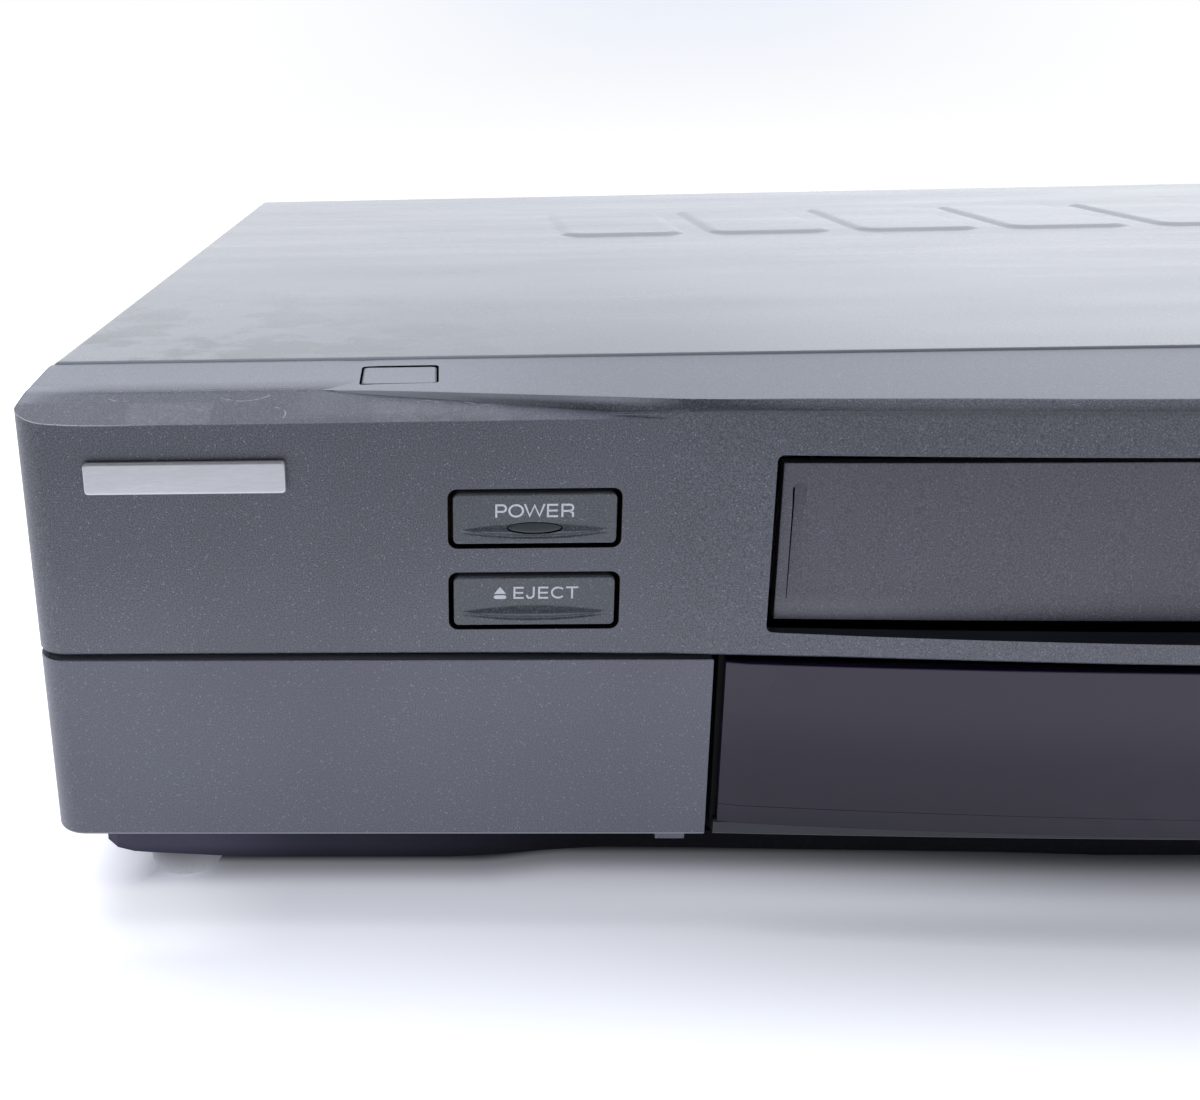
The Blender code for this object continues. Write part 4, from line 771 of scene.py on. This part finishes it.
# ------------------------------------------------------------------ buttons
def button_grid(name, centre, scoop=True, eye=None):
    """Button with rounded edges and, in its lower half, a long low ridge with a fine groove under it."""
    cx, cz = centre
    w, h, r, e = BTN_W / 2 - 0.07, BTN_H / 2 - 0.07, BTN_R, 0.2
    us = [0.0, 0.05, 0.12, 0.22, 0.34, 0.5, 0.8, 1.2]
    us = us + [1.2 + (2 * w - 2.4) * k / 44.0 for k in range(1, 44)] + [2 * w - u for u in reversed(us)]
    ts = [0.0, 0.05, 0.12, 0.22, 0.34, 0.5]
    ts = ts + [0.5 + (2 * h - 1.0) * k / 56.0 for k in range(1, 56)] + [2 * h - t for t in reversed(ts)]

    def half(z):
        q = abs(z) - (h - r)
        return w if q <= 0 else w - r + math.sqrt(max(0.0, r * r - q * q))

    def edge_distance(x, z):
        qx, qz = abs(x) - (w - r), abs(z) - (h - r)
        if qx > 0 and qz > 0:
            return r - math.hypot(qx, qz)
        return min(w - abs(x), h - abs(z))

    def depth(x, z):
        d = edge_distance(x, z)
        out = 0.0 if d >= e else e - math.sqrt(max(0.0, e * e - (e - d) ** 2))
        if scoop:
            reach = 10.85
            q = abs(x) / reach
            if q < 1:
                lens = 1 - q * q
                top = -1.70 + 1.05 * lens
                crest = -1.74 - 0.12 * lens
                foot = -1.76 - 0.88 * lens
                proud = 0.52 * lens ** 0.6
                if crest < z < top:
                    out -= proud * ((top - z) / (top - crest)) ** 1.25
                elif foot < z <= crest:
                    t = (z - foot) / (crest - foot)
                    out -= proud * math.sin(0.5 * math.pi * t) ** 0.9
                elif foot - 0.42 < z <= foot:
                    out += 0.16 * lens ** 0.4 * math.sin(math.pi * (foot - z) / 0.42) ** 0.7
        return out

    bm = bmesh.new()
    rows = []
    for t in ts:
        z = t - h
        hw = half(z)
        row = []
        for u in us:
            x = (u - w) * hw / w
            row.append(bm.verts.new((cx + x, -0.2 + depth(x, z), cz + z)))
        rows.append(row)
    for a, b in zip(rows, rows[1:]):
        for k in range(len(a) - 1):
            bm.faces.new((a[k], a[k + 1], b[k + 1], b[k]))
    rim = rows[0] + [row[-1] for row in rows[1:-1]] + list(reversed(rows[-1])) + [row[0] for row in reversed(rows[1:-1])]
    back = [bm.verts.new((p.co.x, 8.0, p.co.z)) for p in rim]
    n = len(rim)
    for k in range(n):
        bm.faces.new((rim[k], rim[(k + 1) % n], back[(k + 1) % n], back[k]))
    bm.faces.new(back)
    ob = make(name, bm, MAT["button"])
    steps = [("+", block("stem", cx - 3.0, cx + 3.0, 7.0, 15.5, cz - 2.0, cz + 2.0, MAT["black"]))]
    if eye:
        loop = [(cx + 4.2 * math.cos(a), cz - 1.35 + 0.88 * math.sin(a)) for a in [2 * math.pi * k / 40 for k in range(40)]]
        steps.append(("-", prism("eye", loop, -3.0, 4.0, "XZ", MAT["inner"])))
    combine(ob, steps)
    return shade(ob, 50.0, False)


for label, centre in CENTRES.items():
    ob = button_grid(label + "_key", centre, True, label == "power")
    finish(ob, label + "_button", label + "_button")

lx, lz = CENTRES["power"][0], CENTRES["power"][1] - 1.35
lens_loops = []
for v, s in ((3.6, 1.0), (0.0, 1.0), (-0.10, 0.985), (-0.16, 0.93), (-0.20, 0.75), (-0.22, 0.4)):
    # its face leans with the ridge that it is set in
    lens_loops.append([(lx + 4.06 * s * math.cos(a), v - (0.0 if v > 1 else 0.17 + 0.19 * s * -math.sin(a)), lz + 0.74 * s * math.sin(a))
                       for a in [2 * math.pi * k / 40 for k in range(40)]])
lens = loft("power_lamp_lens", lens_loops, MAT["lens"])
shade(lens, 60.0, False)
finish(lens, "power_button", "power_lens")


def printed(name, loops_list, body, v=-0.2):
    """Thin printed marks: flat closed outlines a hair above a button's face."""
    bm = bmesh.new()
    for loop in loops_list:
        lo = [bm.verts.new((x, v - 0.005, z)) for x, z in loop]
        hi = [bm.verts.new((x, v - 0.045, z)) for x, z in loop]
        n = len(loop)
        bm.faces.new(lo)
        bm.faces.new(list(reversed(hi)))
        for k in range(n):
            bm.faces.new((lo[k], lo[(k + 1) % n], hi[(k + 1) % n], hi[k]))
    ob = make(name, bm, MAT["print"])
    ob.data.shade_flat()
    return finish(ob, body)


def stroke_sides(points, w, shut=False):
    """Both sides of a line drawn w wide through the points, with mitred turns."""
    n = len(points)
    one, two = [], []
    for k in range(n):
        before = points[k - 1] if (k or shut) else None
        after = points[(k + 1) % n] if (k < n - 1 or shut) else None
        dirs = []
        if before is not None:
            dirs.append(Vector((points[k][0] - before[0], points[k][1] - before[1])).normalized())
        if after is not None:
            dirs.append(Vector((after[0] - points[k][0], after[1] - points[k][1])).normalized())
        side = sum((Vector((-d.y, d.x)) for d in dirs), Vector((0.0, 0.0))).normalized()
        reach = w / 2 / max(0.62, side.dot(Vector((-dirs[0].y, dirs[0].x))))
        one.append((points[k][0] + side.x * reach, points[k][1] + side.y * reach))
        two.append((points[k][0] - side.x * reach, points[k][1] - side.y * reach))
    return one, two


def turn(cx, cz, rx, rz, a0, a1, n=8):
    return [(cx + rx * math.cos(math.radians(a0 + (a1 - a0) * k / n)), cz + rz * math.sin(math.radians(a0 + (a1 - a0) * k / n))) for k in range(n + 1)]


def glyph(letter, w, h, t):
    """Centre lines of a wide plain capital in a cell w by h, kept t/2 inside it, as (points, shut)."""
    a, b, l, r = t / 2, h - t / 2, t / 2, w - t / 2
    mid = h * 0.5
    if letter == "O":
        return [(turn(w / 2, h / 2, (r - l) / 2, (b - a) / 2, 0, 360, 28)[:-1], True)]
    if letter == "C":
        return [(turn(w / 2, h / 2, (r - l) / 2, (b - a) / 2, 42, 318, 22), False)]
    if letter in "PR":
        low = h * (0.44 if letter == "P" else 0.46)
        rz = (b - low) / 2
        bowl = [(l, 0.0), (l, b)] + turn(r - rz, b - rz, rz, rz, 90, -90, 10) + [(l + t * 0.4, low)]
        out = [(bowl, False)]
        if letter == "R":
            out.append(([(r - rz * 0.9, low - t * 0.35), (r - t * 0.1, low - t * 0.5 - h * 0.08), (r - t * 0.05, 0.0)], False))
        return out
    if letter == "E":
        return [([(r, b), (l, b), (l, a), (r, a)], False), ([(l + t * 0.4, mid), (r - t * 0.25, mid)], False)]
    if letter == "T":
        return [([(0.0, b), (w, b)], False), ([(w / 2, b - t * 0.4), (w / 2, 0.0)], False)]
    if letter == "J":
        return [([(r, h)] + turn(r - 0.42 * (r - l) - 0.08 * w, a + 0.3 * h, 0.42 * (r - l) + 0.08 * w, 0.3 * h, 0, -90, 8) + turn(l + 0.3 * (r - l), a + 0.26 * h, 0.3 * (r - l), 0.26 * h, -90, -178, 6), False)]
    return [([(l * 0.8, h), (w * 0.27, t * 0.75), (w / 2, h - t * 0.75), (w * 0.73, t * 0.75), (w - l * 0.8, h)], False)]


def words(name, letters, z0, z1, t, body, v=-0.2):
    """Plain function lettering drawn with even strokes; letters are (capital, left, right)."""
    bm = bmesh.new()
    for letter, left, right in letters:
        width = right - left
        for points, shut in glyph(letter, width, z1 - z0, t):
            points = [(left + px0, z0 + pz0) for px0, pz0 in points]
            one, two = stroke_sides(points, t, shut)
            rows = []
            for side in (one, two):
                for level in (v - 0.005, v - 0.04):
                    rows.append([bm.verts.new((px0, level, pz0)) for px0, pz0 in side])
            a, b, c, d = rows
            n = len(a)
            for k in range(n if shut else n - 1):
                j = (k + 1) % n
                for p, q in ((a, b), (b, d), (d, c), (c, a)):
                    bm.faces.new((p[k], p[j], q[j], q[k]))
            if not shut:
                bm.faces.new((a[0], b[0], d[0], c[0]))
                bm.faces.new((a[-1], c[-1], d[-1], b[-1]))
    ob = make(name, bm, MAT["print"])
    ob.data.shade_flat()
    return finish(ob, body)


px, pz = CENTRES["power"]
words("power_word", [("P", px - 5.87, px - 4.12), ("O", px - 3.93, px - 1.6), ("W", px - 1.6, px + 1.56), ("E", px + 1.8, px + 3.6), ("R", px + 3.94, px + 5.83)],
      pz + 0.28, pz + 2.38, 0.3, "power_button")
ex, ez = CENTRES["eject"]
words("eject_word", [("E", ex - 3.1, ex - 1.41), ("J", ex - 1.2, ex + 0.11), ("E", ex + 0.63, ex + 2.3), ("C", ex + 2.57, ex + 4.75), ("T", ex + 4.85, ex + 6.66)],
      ez + 0.43, ez + 2.38, 0.28, "eject_button")
bar_ends = turn(ex - 4.48, ez + 0.73, 0.3, 0.3, -90, 90, 6) + turn(ex - 5.79, ez + 0.73, 0.3, 0.3, 90, 270, 6)
printed("eject_mark", [[(ex - 6.06, ez + 1.25), (ex - 4.21, ez + 1.25), (ex - 5.14, ez + 2.37)], bar_ends], "eject_button")


def triangle(cx, cz, s, way=1):
    return [(cx - way * s * 0.6, cz - s), (cx + way * s, cz), (cx - way * s * 0.6, cz + s)]


def mark_at(label):
    cx, cz = CENTRES[label]
    return cx, cz + 1.5


cx, cz = mark_at("play")
printed("play_mark", [triangle(cx, cz, 0.95)], "play_button")
cx, cz = mark_at("stop")
printed("stop_mark", [[(cx - 0.85, cz - 0.85), (cx + 0.85, cz - 0.85), (cx + 0.85, cz + 0.85), (cx - 0.85, cz + 0.85)]], "stop_button")
cx, cz = mark_at("forward")
printed("forward_mark", [triangle(cx - 0.9, cz, 0.9), triangle(cx + 0.9, cz, 0.9)], "forward_button")
cx, cz = mark_at("rewind")
printed("rewind_mark", [triangle(cx - 0.9, cz, 0.9, -1), triangle(cx + 0.9, cz, 0.9, -1)], "rewind_button")
cx, cz = mark_at("record")
printed("record_mark", [[(cx + 0.95 * math.cos(2 * math.pi * k / 28), cz + 0.95 * math.sin(2 * math.pi * k / 28)) for k in range(28)]], "record_button")
cx, cz = mark_at("pause")
printed("pause_mark", [[(cx + o, cz - 0.9), (cx + o + 0.55, cz - 0.9), (cx + o + 0.55, cz + 0.9), (cx + o, cz + 0.9)] for o in (-0.85, 0.3)], "pause_button")

# ------------------------------------------------------------------ cassette flap
flap_loops = []
flap_xs = [-FLAP_X, -FLAP_X + 0.06, -FLAP_X + 0.25] + [-99.3 + 198.6 * k / 40.0 for k in range(41)] + [FLAP_X - 0.25, FLAP_X - 0.06, FLAP_X]
for x in flap_xs:
    d = FLAP_X - abs(x)
    e = 0.0 if d >= 0.25 else 0.25 - math.sqrt(max(0.0, 0.25 ** 2 - (0.25 - d) ** 2))
    fv = flap_v(x) + e
    flap_loops.append([(x, fv + 0.25, FLAP_Z0), (x, fv + 0.07, FLAP_Z0 + 0.07), (x, fv, FLAP_Z0 + 0.25), (x, fv, FLAP_Z1 - 0.25),
                       (x, fv + 0.07, FLAP_Z1 - 0.07), (x, fv + 0.25, FLAP_Z1), (x, flap_v(x) + FLAP_T, FLAP_Z1), (x, flap_v(x) + FLAP_T, FLAP_Z0)])
flap = loft("flap_panel", flap_loops, MAT["flap"])
# long finger mark at the left: deep along its left wall and at its rounded top, running out downwards
GX0, GX1, GZ0, GZ1 = -98.45, -96.7, 58.9, 77.05
groove_plan = [(0.5 * (GX0 + GX1) + 1.0 * math.cos(math.pi * k / 12.0), GZ1 - 1.0 + 1.0 * math.sin(math.pi * k / 12.0)) for k in range(13)]
groove_plan += [(GX0, GZ0 + (GZ1 - 1.0 - GZ0) * t) for t in (0.8, 0.6, 0.4, 0.2, 0.0)] + [(GX1, GZ0 + (GZ1 - 1.0 - GZ0) * t) for t in (0.0, 0.2, 0.4, 0.6, 0.8)]


def groove_floor(x, z):
    side = (GX1 - x) / (GX1 - GX0)
    rise = max(0.0, min(1.0, (z - GZ0) / (GZ1 - GZ0)))
    return flap_v(x) - 0.03 + side * (0.03 + 0.85 * rise ** 1.3) + 0.34 * max(0.0, rise - 0.8) / 0.2


groove = loft("groove", [[(x, flap_v(x) - 1.0, z) for x, z in groove_plan], [(x, groove_floor(x, z), z) for x, z in groove_plan]], MAT["flap"])
slit = loft("slit", [[(GX0 - 0.02, flap_v(GX0) - 1.0, GZ0 - 0.3), (GX0 + 0.10, flap_v(GX0) - 1.0, GZ0 - 0.3), (GX0 + 0.48, flap_v(GX0) - 1.0, GZ1 - 1.0), (GX0 - 0.02, flap_v(GX0) - 1.0, GZ1 - 1.0)],
                     [(GX0 - 0.02, flap_v(GX0) + 0.7, GZ0 - 0.3), (GX0 + 0.08, flap_v(GX0) + 0.7, GZ0 - 0.3), (GX0 + 0.36, flap_v(GX0) + 1.5, GZ1 - 1.0), (GX0 - 0.02, flap_v(GX0) + 1.5, GZ1 - 1.0)]], MAT["inner"])
combine(flap, [("-", groove), ("-", slit),
               ("+", block("ear_l", -97.7, -95.4, 3.0, 6.8, 76.4, FLAP_Z1 - 0.2, MAT["inner"])),
               ("+", block("ear_r", 95.4, 97.7, 3.0, 6.8, 76.4, FLAP_Z1 - 0.2, MAT["inner"])),
               ("+", disc("pin_l", -108.0, *FLAP_AXIS, 1.0, 12.0, "X", 20, MAT["inner"])),
               ("+", disc("pin_r", 96.0, *FLAP_AXIS, 1.0, 6.4, "X", 20, MAT["inner"]))])
shade(flap, 32.0)
finish(flap, "cassette_flap", "cassette_flap")

# ------------------------------------------------------------------ jack door
outer = [(-109.1, 0.0)] + corner_plan(-1, 0) + [(-HALF_W, 6.1)]
inner = [(-212.6, 6.1), (-212.2, 5.0), (-211.2, 3.4), (-210.0, 2.6), (-208.4, 2.2), (-109.1, 2.2)]


def door_loop(z, back):
    """Outline of the door in plan, its outer face moved back a little near the edges."""
    pts = []
    for x, v in outer:
        shift = back * (0.9 if x > -203 else 0.6)
        pts.append((x + (back if x < -208 else (-back if x > -110 else 0.0)), v + shift, z))
    return pts + [(x, v, z) for x, v in inner]


door = loft("door_panel", [door_loop(DOOR_Z0, 0.3), door_loop(DOOR_Z0 + 0.09, 0.09), door_loop(DOOR_Z0 + 0.3, 0.0),
                           door_loop(DOOR_Z1 - 0.3, 0.0), door_loop(DOOR_Z1 - 0.09, 0.09), door_loop(DOOR_Z1, 0.3)], MAT["door"])
combine(door, [("+", block("tab", -116.75, -112.1, 0.9, 4.0, 16.9, 19.4, MAT["door"])),
               ("+", block("ear", -200.0, -196.0, 1.6, 4.6, 19.0, 22.0, MAT["door"]))])
for p in door.data.vertices:
    if p.co.z > 0.0488:
        p.co.z += 0.00038 * max(0.0, min(1.0, (-p.co.x * 1000 - 128.0) / 80.0))
shade(door, 32.0)
finish(door, "jack_door", "jack_door")

# ------------------------------------------------------------------ window
win = []
for k in range(65):
    x = -107.35 + 214.7 * k / 64.0
    b = bow(x)
    e = 0.0
    d = 107.35 - abs(x)
    if d < 0.35:
        e = 0.35 - math.sqrt(max(0.0, 0.35 ** 2 - (0.35 - d) ** 2))
    win.append([(x, b + e + 0.3, 21.0), (x, b + e + 0.08, 21.1), (x, b + e, 21.35), (x, b + e, 24.2), (x, b + e + 0.06, 24.3), (x, b + e, 24.4), (x, b + e, 48.75),
                (x, b + e + 0.08, 49.0), (x, b + e + 0.3, 49.1), (x, b + 2.0, 49.1), (x, b + 2.0, 21.0)])
window = loft("window_lens", win, MAT["smoked"])
shade(window, 40.0)
finish(window, "recorder", "display_window")

# ------------------------------------------------------------------ cover
TOP_Z, COVER_T = 92.0, 0.9


def arch(half, top, r, foot, n=8):
    pts = [(-half, foot)]
    for k in range(n + 1):
        a = math.radians(180 - 90 * k / n)
        pts.append((-half + r + r * math.cos(a), top - r + r * math.sin(a)))
    return pts + [(-x, z) for x, z in reversed(pts)]


def sheet_loop(v, tuck):
    loop = arch(HALF_W - tuck, TOP_Z - tuck, 1.65, 14.0) + list(reversed(arch(HALF_W - COVER_T, TOP_Z - COVER_T, 0.85, 14.0)))
    return [(x, v, z) for x, z in loop]


cover = loft("cover_sheet", [sheet_loop(24.47, 0.16), sheet_loop(24.52, 0.05), sheet_loop(24.64, 0.0), sheet_loop(288.1, 0.0),
                             sheet_loop(288.32, 0.08), sheet_loop(288.4, 0.25)], MAT["cover"])
steps = []
for k in range(6):
    cx = (k - 2.5) * 40.0
    loops = []
    for z, grow in ((91.5, 2.2), (91.93, 2.2), (92.02, 1.5), (92.12, 0.9), (92.3, 0.2), (92.45, -0.5), (92.55, -1.2), (92.6, -2.2)):
        loops.append([(x, v, z) for x, v in rounded(cx, 202.5, 31.0 + 2 * grow, 56.0 + 2 * grow, 5.0 + grow, 6)])
    steps.append(("+", loft("pad", loops, MAT["cover"])))
for side, v in ((-1, 62.0), (-1, 262.0), (1, 62.0), (1, 262.0)):
    steps.append(("-", disc("screw_hole", side * 215.0 - 4.0, v, 30.0, 2.5, 8.0, "X", 24, MAT["cover"])))
for side in (-1, 1):
    for k in range(8):
        v = 176.0 + 9.0 * k
        loop = [(p, q) for p, q in rounded(v + 1.5, 71.0, 3.0, 18.0, 1.45, 5)]
        steps.append(("-", prism("vent", loop, side * 215.0 - 3.0, side * 215.0 + 3.0, "VZ", MAT["cover"])))
combine(cover, steps)
shade(cover, 40.0)
finish(cover, "recorder", "top_cover")

# ------------------------------------------------------------------ feet and screws
for label, sx, v in (("front_left", -1, 20.7), ("front_right", 1, 20.7), ("rear_left", -1, 262.0), ("rear_right", 1, 262.0)):
    foot = lathe("pad_foot_" + label, sx * 197.7, v, [(4.6, 0.8), (4.9, 0.2), (5.2, 0.0), (5.7, 0.1), (6.2, 0.5), (6.5, 1.2), (6.55, 2.2), (6.6, 8.6), (6.55, 9.2), (6.5, 10.1)],
                 48, MAT["rubber"])
    shade(foot, 40.0)
    finish(foot, "recorder", "foot_" + label)


def cross_cut(x, v, z, axis, size, depth_from, depth_to):
    """Two thin blocks that make a screw's cross recess."""
    out = []
    for a, b in ((size, 0.42), (0.42, size)):
        if axis == "X":
            out.append(("-", block("slot", *sorted((depth_from, depth_to)), v - a, v + a, z - b, z + b, MAT["screw"])))
        else:
            out.append(("-", block("slot", x - a, x + a, *sorted((depth_from, depth_to)), z - b, z + b, MAT["screw"])))
    return out


for label, side, v in (("left_front", -1, 62.0), ("left_rear", -1, 262.0), ("right_front", 1, 62.0), ("right_rear", 1, 262.0)):
    loops = []
    for out, r in ((215.3, 3.6), (215.9, 3.6), (216.3, 3.25), (216.55, 2.4)):
        loops.append([(side * out, v + r * math.cos(2 * math.pi * k / 28), 30.0 + r * math.sin(2 * math.pi * k / 28)) for k in range(28)])
    head = loft("screw_head_" + label, loops, MAT["screw"])
    combine(head, [("+", disc("shank", min(side * 204.0, side * 215.6), v, 30.0, 1.6, 11.6, "X", 16, MAT["screw"]))])
    combine(head, cross_cut(0, v, 30.0, "X", 2.0, side * 215.7, side * 217.5))
    shade(head, 40.0)
    finish(head, "recorder", "screw_" + label)
for label, x in (("rear_left", -150.0), ("rear_right", 120.0)):
    loops = []
    for out, r in ((287.1, 3.4), (287.9, 3.4), (288.35, 3.0), (288.65, 2.2)):
        loops.append([(x + r * math.cos(2 * math.pi * k / 28), out, 80.0 + r * math.sin(2 * math.pi * k / 28)) for k in range(28)])
    head = loft("screw_head_" + label, loops, MAT["screw"])
    combine(head, [("+", disc("shank", x, 277.0, 80.0, 1.6, 10.6, "Y", 16, MAT["screw"]))])
    combine(head, cross_cut(x, 0, 80.0, "Y", 2.0, 287.9, 289.5))
    shade(head, 40.0)
    finish(head, "recorder", "screw_" + label)

# ------------------------------------------------------------------ finishes of the pieces kept from the CAD
KEPT = {
    "chassis_frame": "chassis", "bottom_plate": "zinc", "rear_panel": "black", "mains_inlet": "black", "rear_av_jacks": "black",
    "tuner_module": "can", "antenna_input": "bright", "antenna_output": "bright", "main_board": "board", "power_supply": "board",
    "front_switch_board": "board", "display_module": "glass", "front_video_jack": "bright", "front_audio_left_jack": "bright",
    "front_audio_right_jack": "bright", "flap_spring": "bright", "deck_plate": "zinc", "lower_drum": "bright", "upper_drum": "bright",
    "capstan_rotor": "bright", "pinch_lever": "zinc", "pinch_roller": "roller", "supply_reel": "nylon", "takeup_reel": "nylon",
    "idler_gear": "nylon", "loading_cam": "nylon", "loading_motor": "zinc", "guide_post_left": "bright", "guide_post_right": "bright",
    "audio_head": "bright", "erase_head": "bright", "holder_frame": "zinc", "holder_slide": "zinc", "cassette_holder": "zinc"}
for name, key in KEPT.items():
    ob = nodes[name]
    for s in ob.material_slots:
        s.material = MAT[key]
bevel(nodes["chassis_frame"], 0.5, 2, 50.0)
bevel(nodes["rear_panel"], 0.25, 1, 50.0)

# ------------------------------------------------------------------ floor, light and camera
bm = bmesh.new()
bmesh.ops.create_grid(bm, x_segments=1, y_segments=1, size=30.0)
mesh = bpy.data.meshes.new("floor")
bm.to_mesh(mesh)
bm.free()
floor = bpy.data.objects.new("floor", mesh)
scene.collection.objects.link(floor)
f = Finish("floor_white")
place = f.tree.nodes.new("ShaderNodeSeparateXYZ")
f.put(place.inputs[0], f.coords)
px_, py_ = place.outputs[0], place.outputs[1]
wide, deep = f.math("ABSOLUTE", px_), f.math("ABSOLUTE", py_)
far = f.math("SQRT", f.math("ADD", f.math("MULTIPLY", px_, px_), f.math("MULTIPLY", py_, py_)))
away = f.span(far, 0.55, 1.5)
# a little greyer far behind, as a swept backdrop is
run = f.math("MAXIMUM", f.math("ADD", py_, 0.325), 0.05)
aside = f.math("ABSOLUTE", f.math("SUBTRACT", f.math("DIVIDE", f.math("ADD", px_, 0.150), run), 0.187))
dim = f.math("MULTIPLY", f.math("SUBTRACT", 1.0, f.math("DIVIDE", 2.7, run), clamp=True), f.span(aside, 0.03, 0.36, 1.0, 0.0))
# painted shadow: the floor's glow is cut out under the recorder, and reaches in under the front edge less and less far
# towards the middle of its length
inwards = f.span(px_, -0.13, -0.02)
clear = f.math("MAXIMUM", f.span(wide, 0.197, 0.210), f.span(f.math("MULTIPLY_ADD", inwards, -0.008, deep), 0.114, 0.136))
glow = f.mix(clear, (0.0, 0.0, 0.0), FLOOR_GLOW)
# painted shadow: a soft darker band on the floor just in front of the recorder, fading out towards its left end
soft = f.math("MULTIPLY", f.math("MULTIPLY", f.span(deep, 0.136, 0.146), f.span(deep, 0.150, 0.178, 1.0, 0.0)), f.span(px_, -0.19, -0.06, 0.0, 1.0))
glow = f.mix(f.math("MULTIPLY", soft, 0.36), glow, (0.0, 0.0, 0.0))
glow = f.mix(away, glow, f.mix(dim, (1.0, 1.0, 1.0), (0.905, 0.925, 0.975)))
fore = f.span(py_, -0.21, -0.48, 0.0, 0.55)
glow = f.mix(fore, glow, (0.0, 0.0, 0.0))
glow = f.mix(f.window(py_, -0.29, -0.235, 0.03), glow, (0.80, 0.82, 0.90))
# painted shadow: the table is darkened in the last few millimetres before the base, which stands lower towards its
# ends
near_v = f.math("MULTIPLY_ADD", py_, 1000.0, MID_V)
near_v = f.math("ADD", near_v, f.span(wide, 0.128, 0.146, 0.0, 2.9))
open_sky = f.math("ADD", f.math("ADD", 0.08, f.span(near_v, 24.1, 21.2, 0.0, 0.45)), f.span(near_v, 21.5, 14.0, 0.0, 0.47))
open_sky = f.math("MAXIMUM", open_sky, f.span(wide, 0.197, 0.207))
shut_in = f.math("MULTIPLY", f.math("SUBTRACT", 1.0, open_sky), f.span(py_, 0.02, -0.05))
# painted light: the glow is raised a little by the recorder's left end, just in front of it
pale_end = f.math("MULTIPLY", f.span(px_, -0.176, -0.198), f.window(f.math("MULTIPLY_ADD", py_, 1000.0, MID_V), -3.0, 9.0, 6.0))
glow = f.mix(f.math("MULTIPLY", pale_end, 0.20), glow, (1.0, 1.0, 1.0))
glow = f.mix(shut_in, glow, (0.0, 0.0, 0.0))
f.set(Base_Color=f.mix(shut_in, f.mix(fore, f.mix(away, (0.84, 0.85, 0.88), (0.0, 0.0, 0.0)), (0.42, 0.43, 0.45)), (0.0, 0.0, 0.0)), Roughness=0.75, Emission_Color=glow)
f.shader.inputs["Specular IOR Level"].default_value = 0.0
f.shader.inputs["Emission Strength"].default_value = 1.0
mesh.materials.append(f.mat)

world = bpy.data.worlds.new("studio")
scene.world = world
world.use_nodes = True
w = Finish.__new__(Finish)
w.tree = world.node_tree
w.coords = w.tree.nodes.new("ShaderNodeTexCoord").outputs["Generated"]
way = w.tree.nodes.new("ShaderNodeSeparateXYZ")
w.put(way.inputs[0], w.coords)
wx, wy, wz = way.outputs
high = w.span(wz, 0.72, 0.93)
back = w.blend(w.span(wz, 0.085, 0.22), w.blend(w.span(wz, 0.055, 0.085), 1.0, SKY_BACK[0]), w.blend(w.span(wz, 0.26, 0.5), SKY_BACK[1], SKY_BACK[2]))
back = w.math("MULTIPLY", back, w.blend(w.span(wx, 0.0, 0.45), 1.0, w.span(wz, 0.055, 0.085, 1.0, SKY_RIGHT)))
low = w.blend(w.span(wy, -0.25, 0.35), w.blend(w.span(wx, -0.05, 0.45), *SKY_FRONT), back)
level = w.blend(high, low, SKY_TOP)
aside = w.math("ABSOLUTE", w.math("SUBTRACT", w.math("DIVIDE", wx, w.math("MAXIMUM", wy, 0.05)), 0.187))
haze = w.math("MULTIPLY", w.span(wz, 0.055, 0.085, 1.0, 0.0), w.math("MULTIPLY", w.span(wy, 0.3, 0.6), w.span(aside, 0.03, 0.36, 1.0, 0.0)))
level = w.blend(haze, level, 1.0)
w.put(w.tree.nodes["Background"].inputs["Color"], w.mix(haze, w.mix(w.span(wz, 0.055, 0.09), (1.0, 1.0, 1.0), (0.955, 0.98, 1.025)), w.mix(w.span(wz, 0.0, 0.046, smooth=False), (0.905, 0.925, 0.975), (0.845, 0.885, 0.96))))
w.put(w.tree.nodes["Background"].inputs["Strength"], level)


def area(name, where, target, size, power, colour=(1, 1, 1)):
    data = bpy.data.lights.new(name, "AREA")
    data.shape = "RECTANGLE"
    data.size, data.size_y = size
    data.energy = power
    data.color = colour
    ob = bpy.data.objects.new(name, data)
    ob.location = where
    ob.rotation_euler = (Vector(target) - Vector(where)).to_track_quat("-Z", "Y").to_euler()
    scene.collection.objects.link(ob)
    return ob


area("soft_top", (-0.20, 0.24, 1.25), (-0.05, 0.0, 0.0), (1.3, 0.95), TOP_POWER, (0.965, 0.985, 1.02)).visible_glossy = False

yaw, pitch, tilt = math.radians(-2.39), math.radians(17.28), math.radians(-1.38)
ahead = Vector((math.sin(yaw) * math.cos(pitch), math.cos(yaw) * math.cos(pitch), -math.sin(pitch)))
right = Vector((math.cos(yaw), -math.sin(yaw), 0.0))
upward = right.cross(ahead)
r2 = math.cos(tilt) * right + math.sin(tilt) * upward
u2 = -math.sin(tilt) * right + math.cos(tilt) * upward
cam_data = bpy.data.cameras.new("camera")
cam_data.lens = 38.278
cam_data.sensor_width = 36.0
cam_data.sensor_fit = "HORIZONTAL"
cam_data.shift_x = 0.17281
cam_data.shift_y = -0.06928
cam_data.clip_start = 0.01
camera = bpy.data.objects.new("camera", cam_data)
camera.matrix_world = Matrix(((r2.x, u2.x, -ahead.x, -0.15029), (r2.y, u2.y, -ahead.y, -0.32496), (r2.z, u2.z, -ahead.z, 0.13677), (0, 0, 0, 1)))
scene.collection.objects.link(camera)
scene.camera = camera
scene.view_settings.view_transform = "Standard"
scene.view_settings.look = "None"
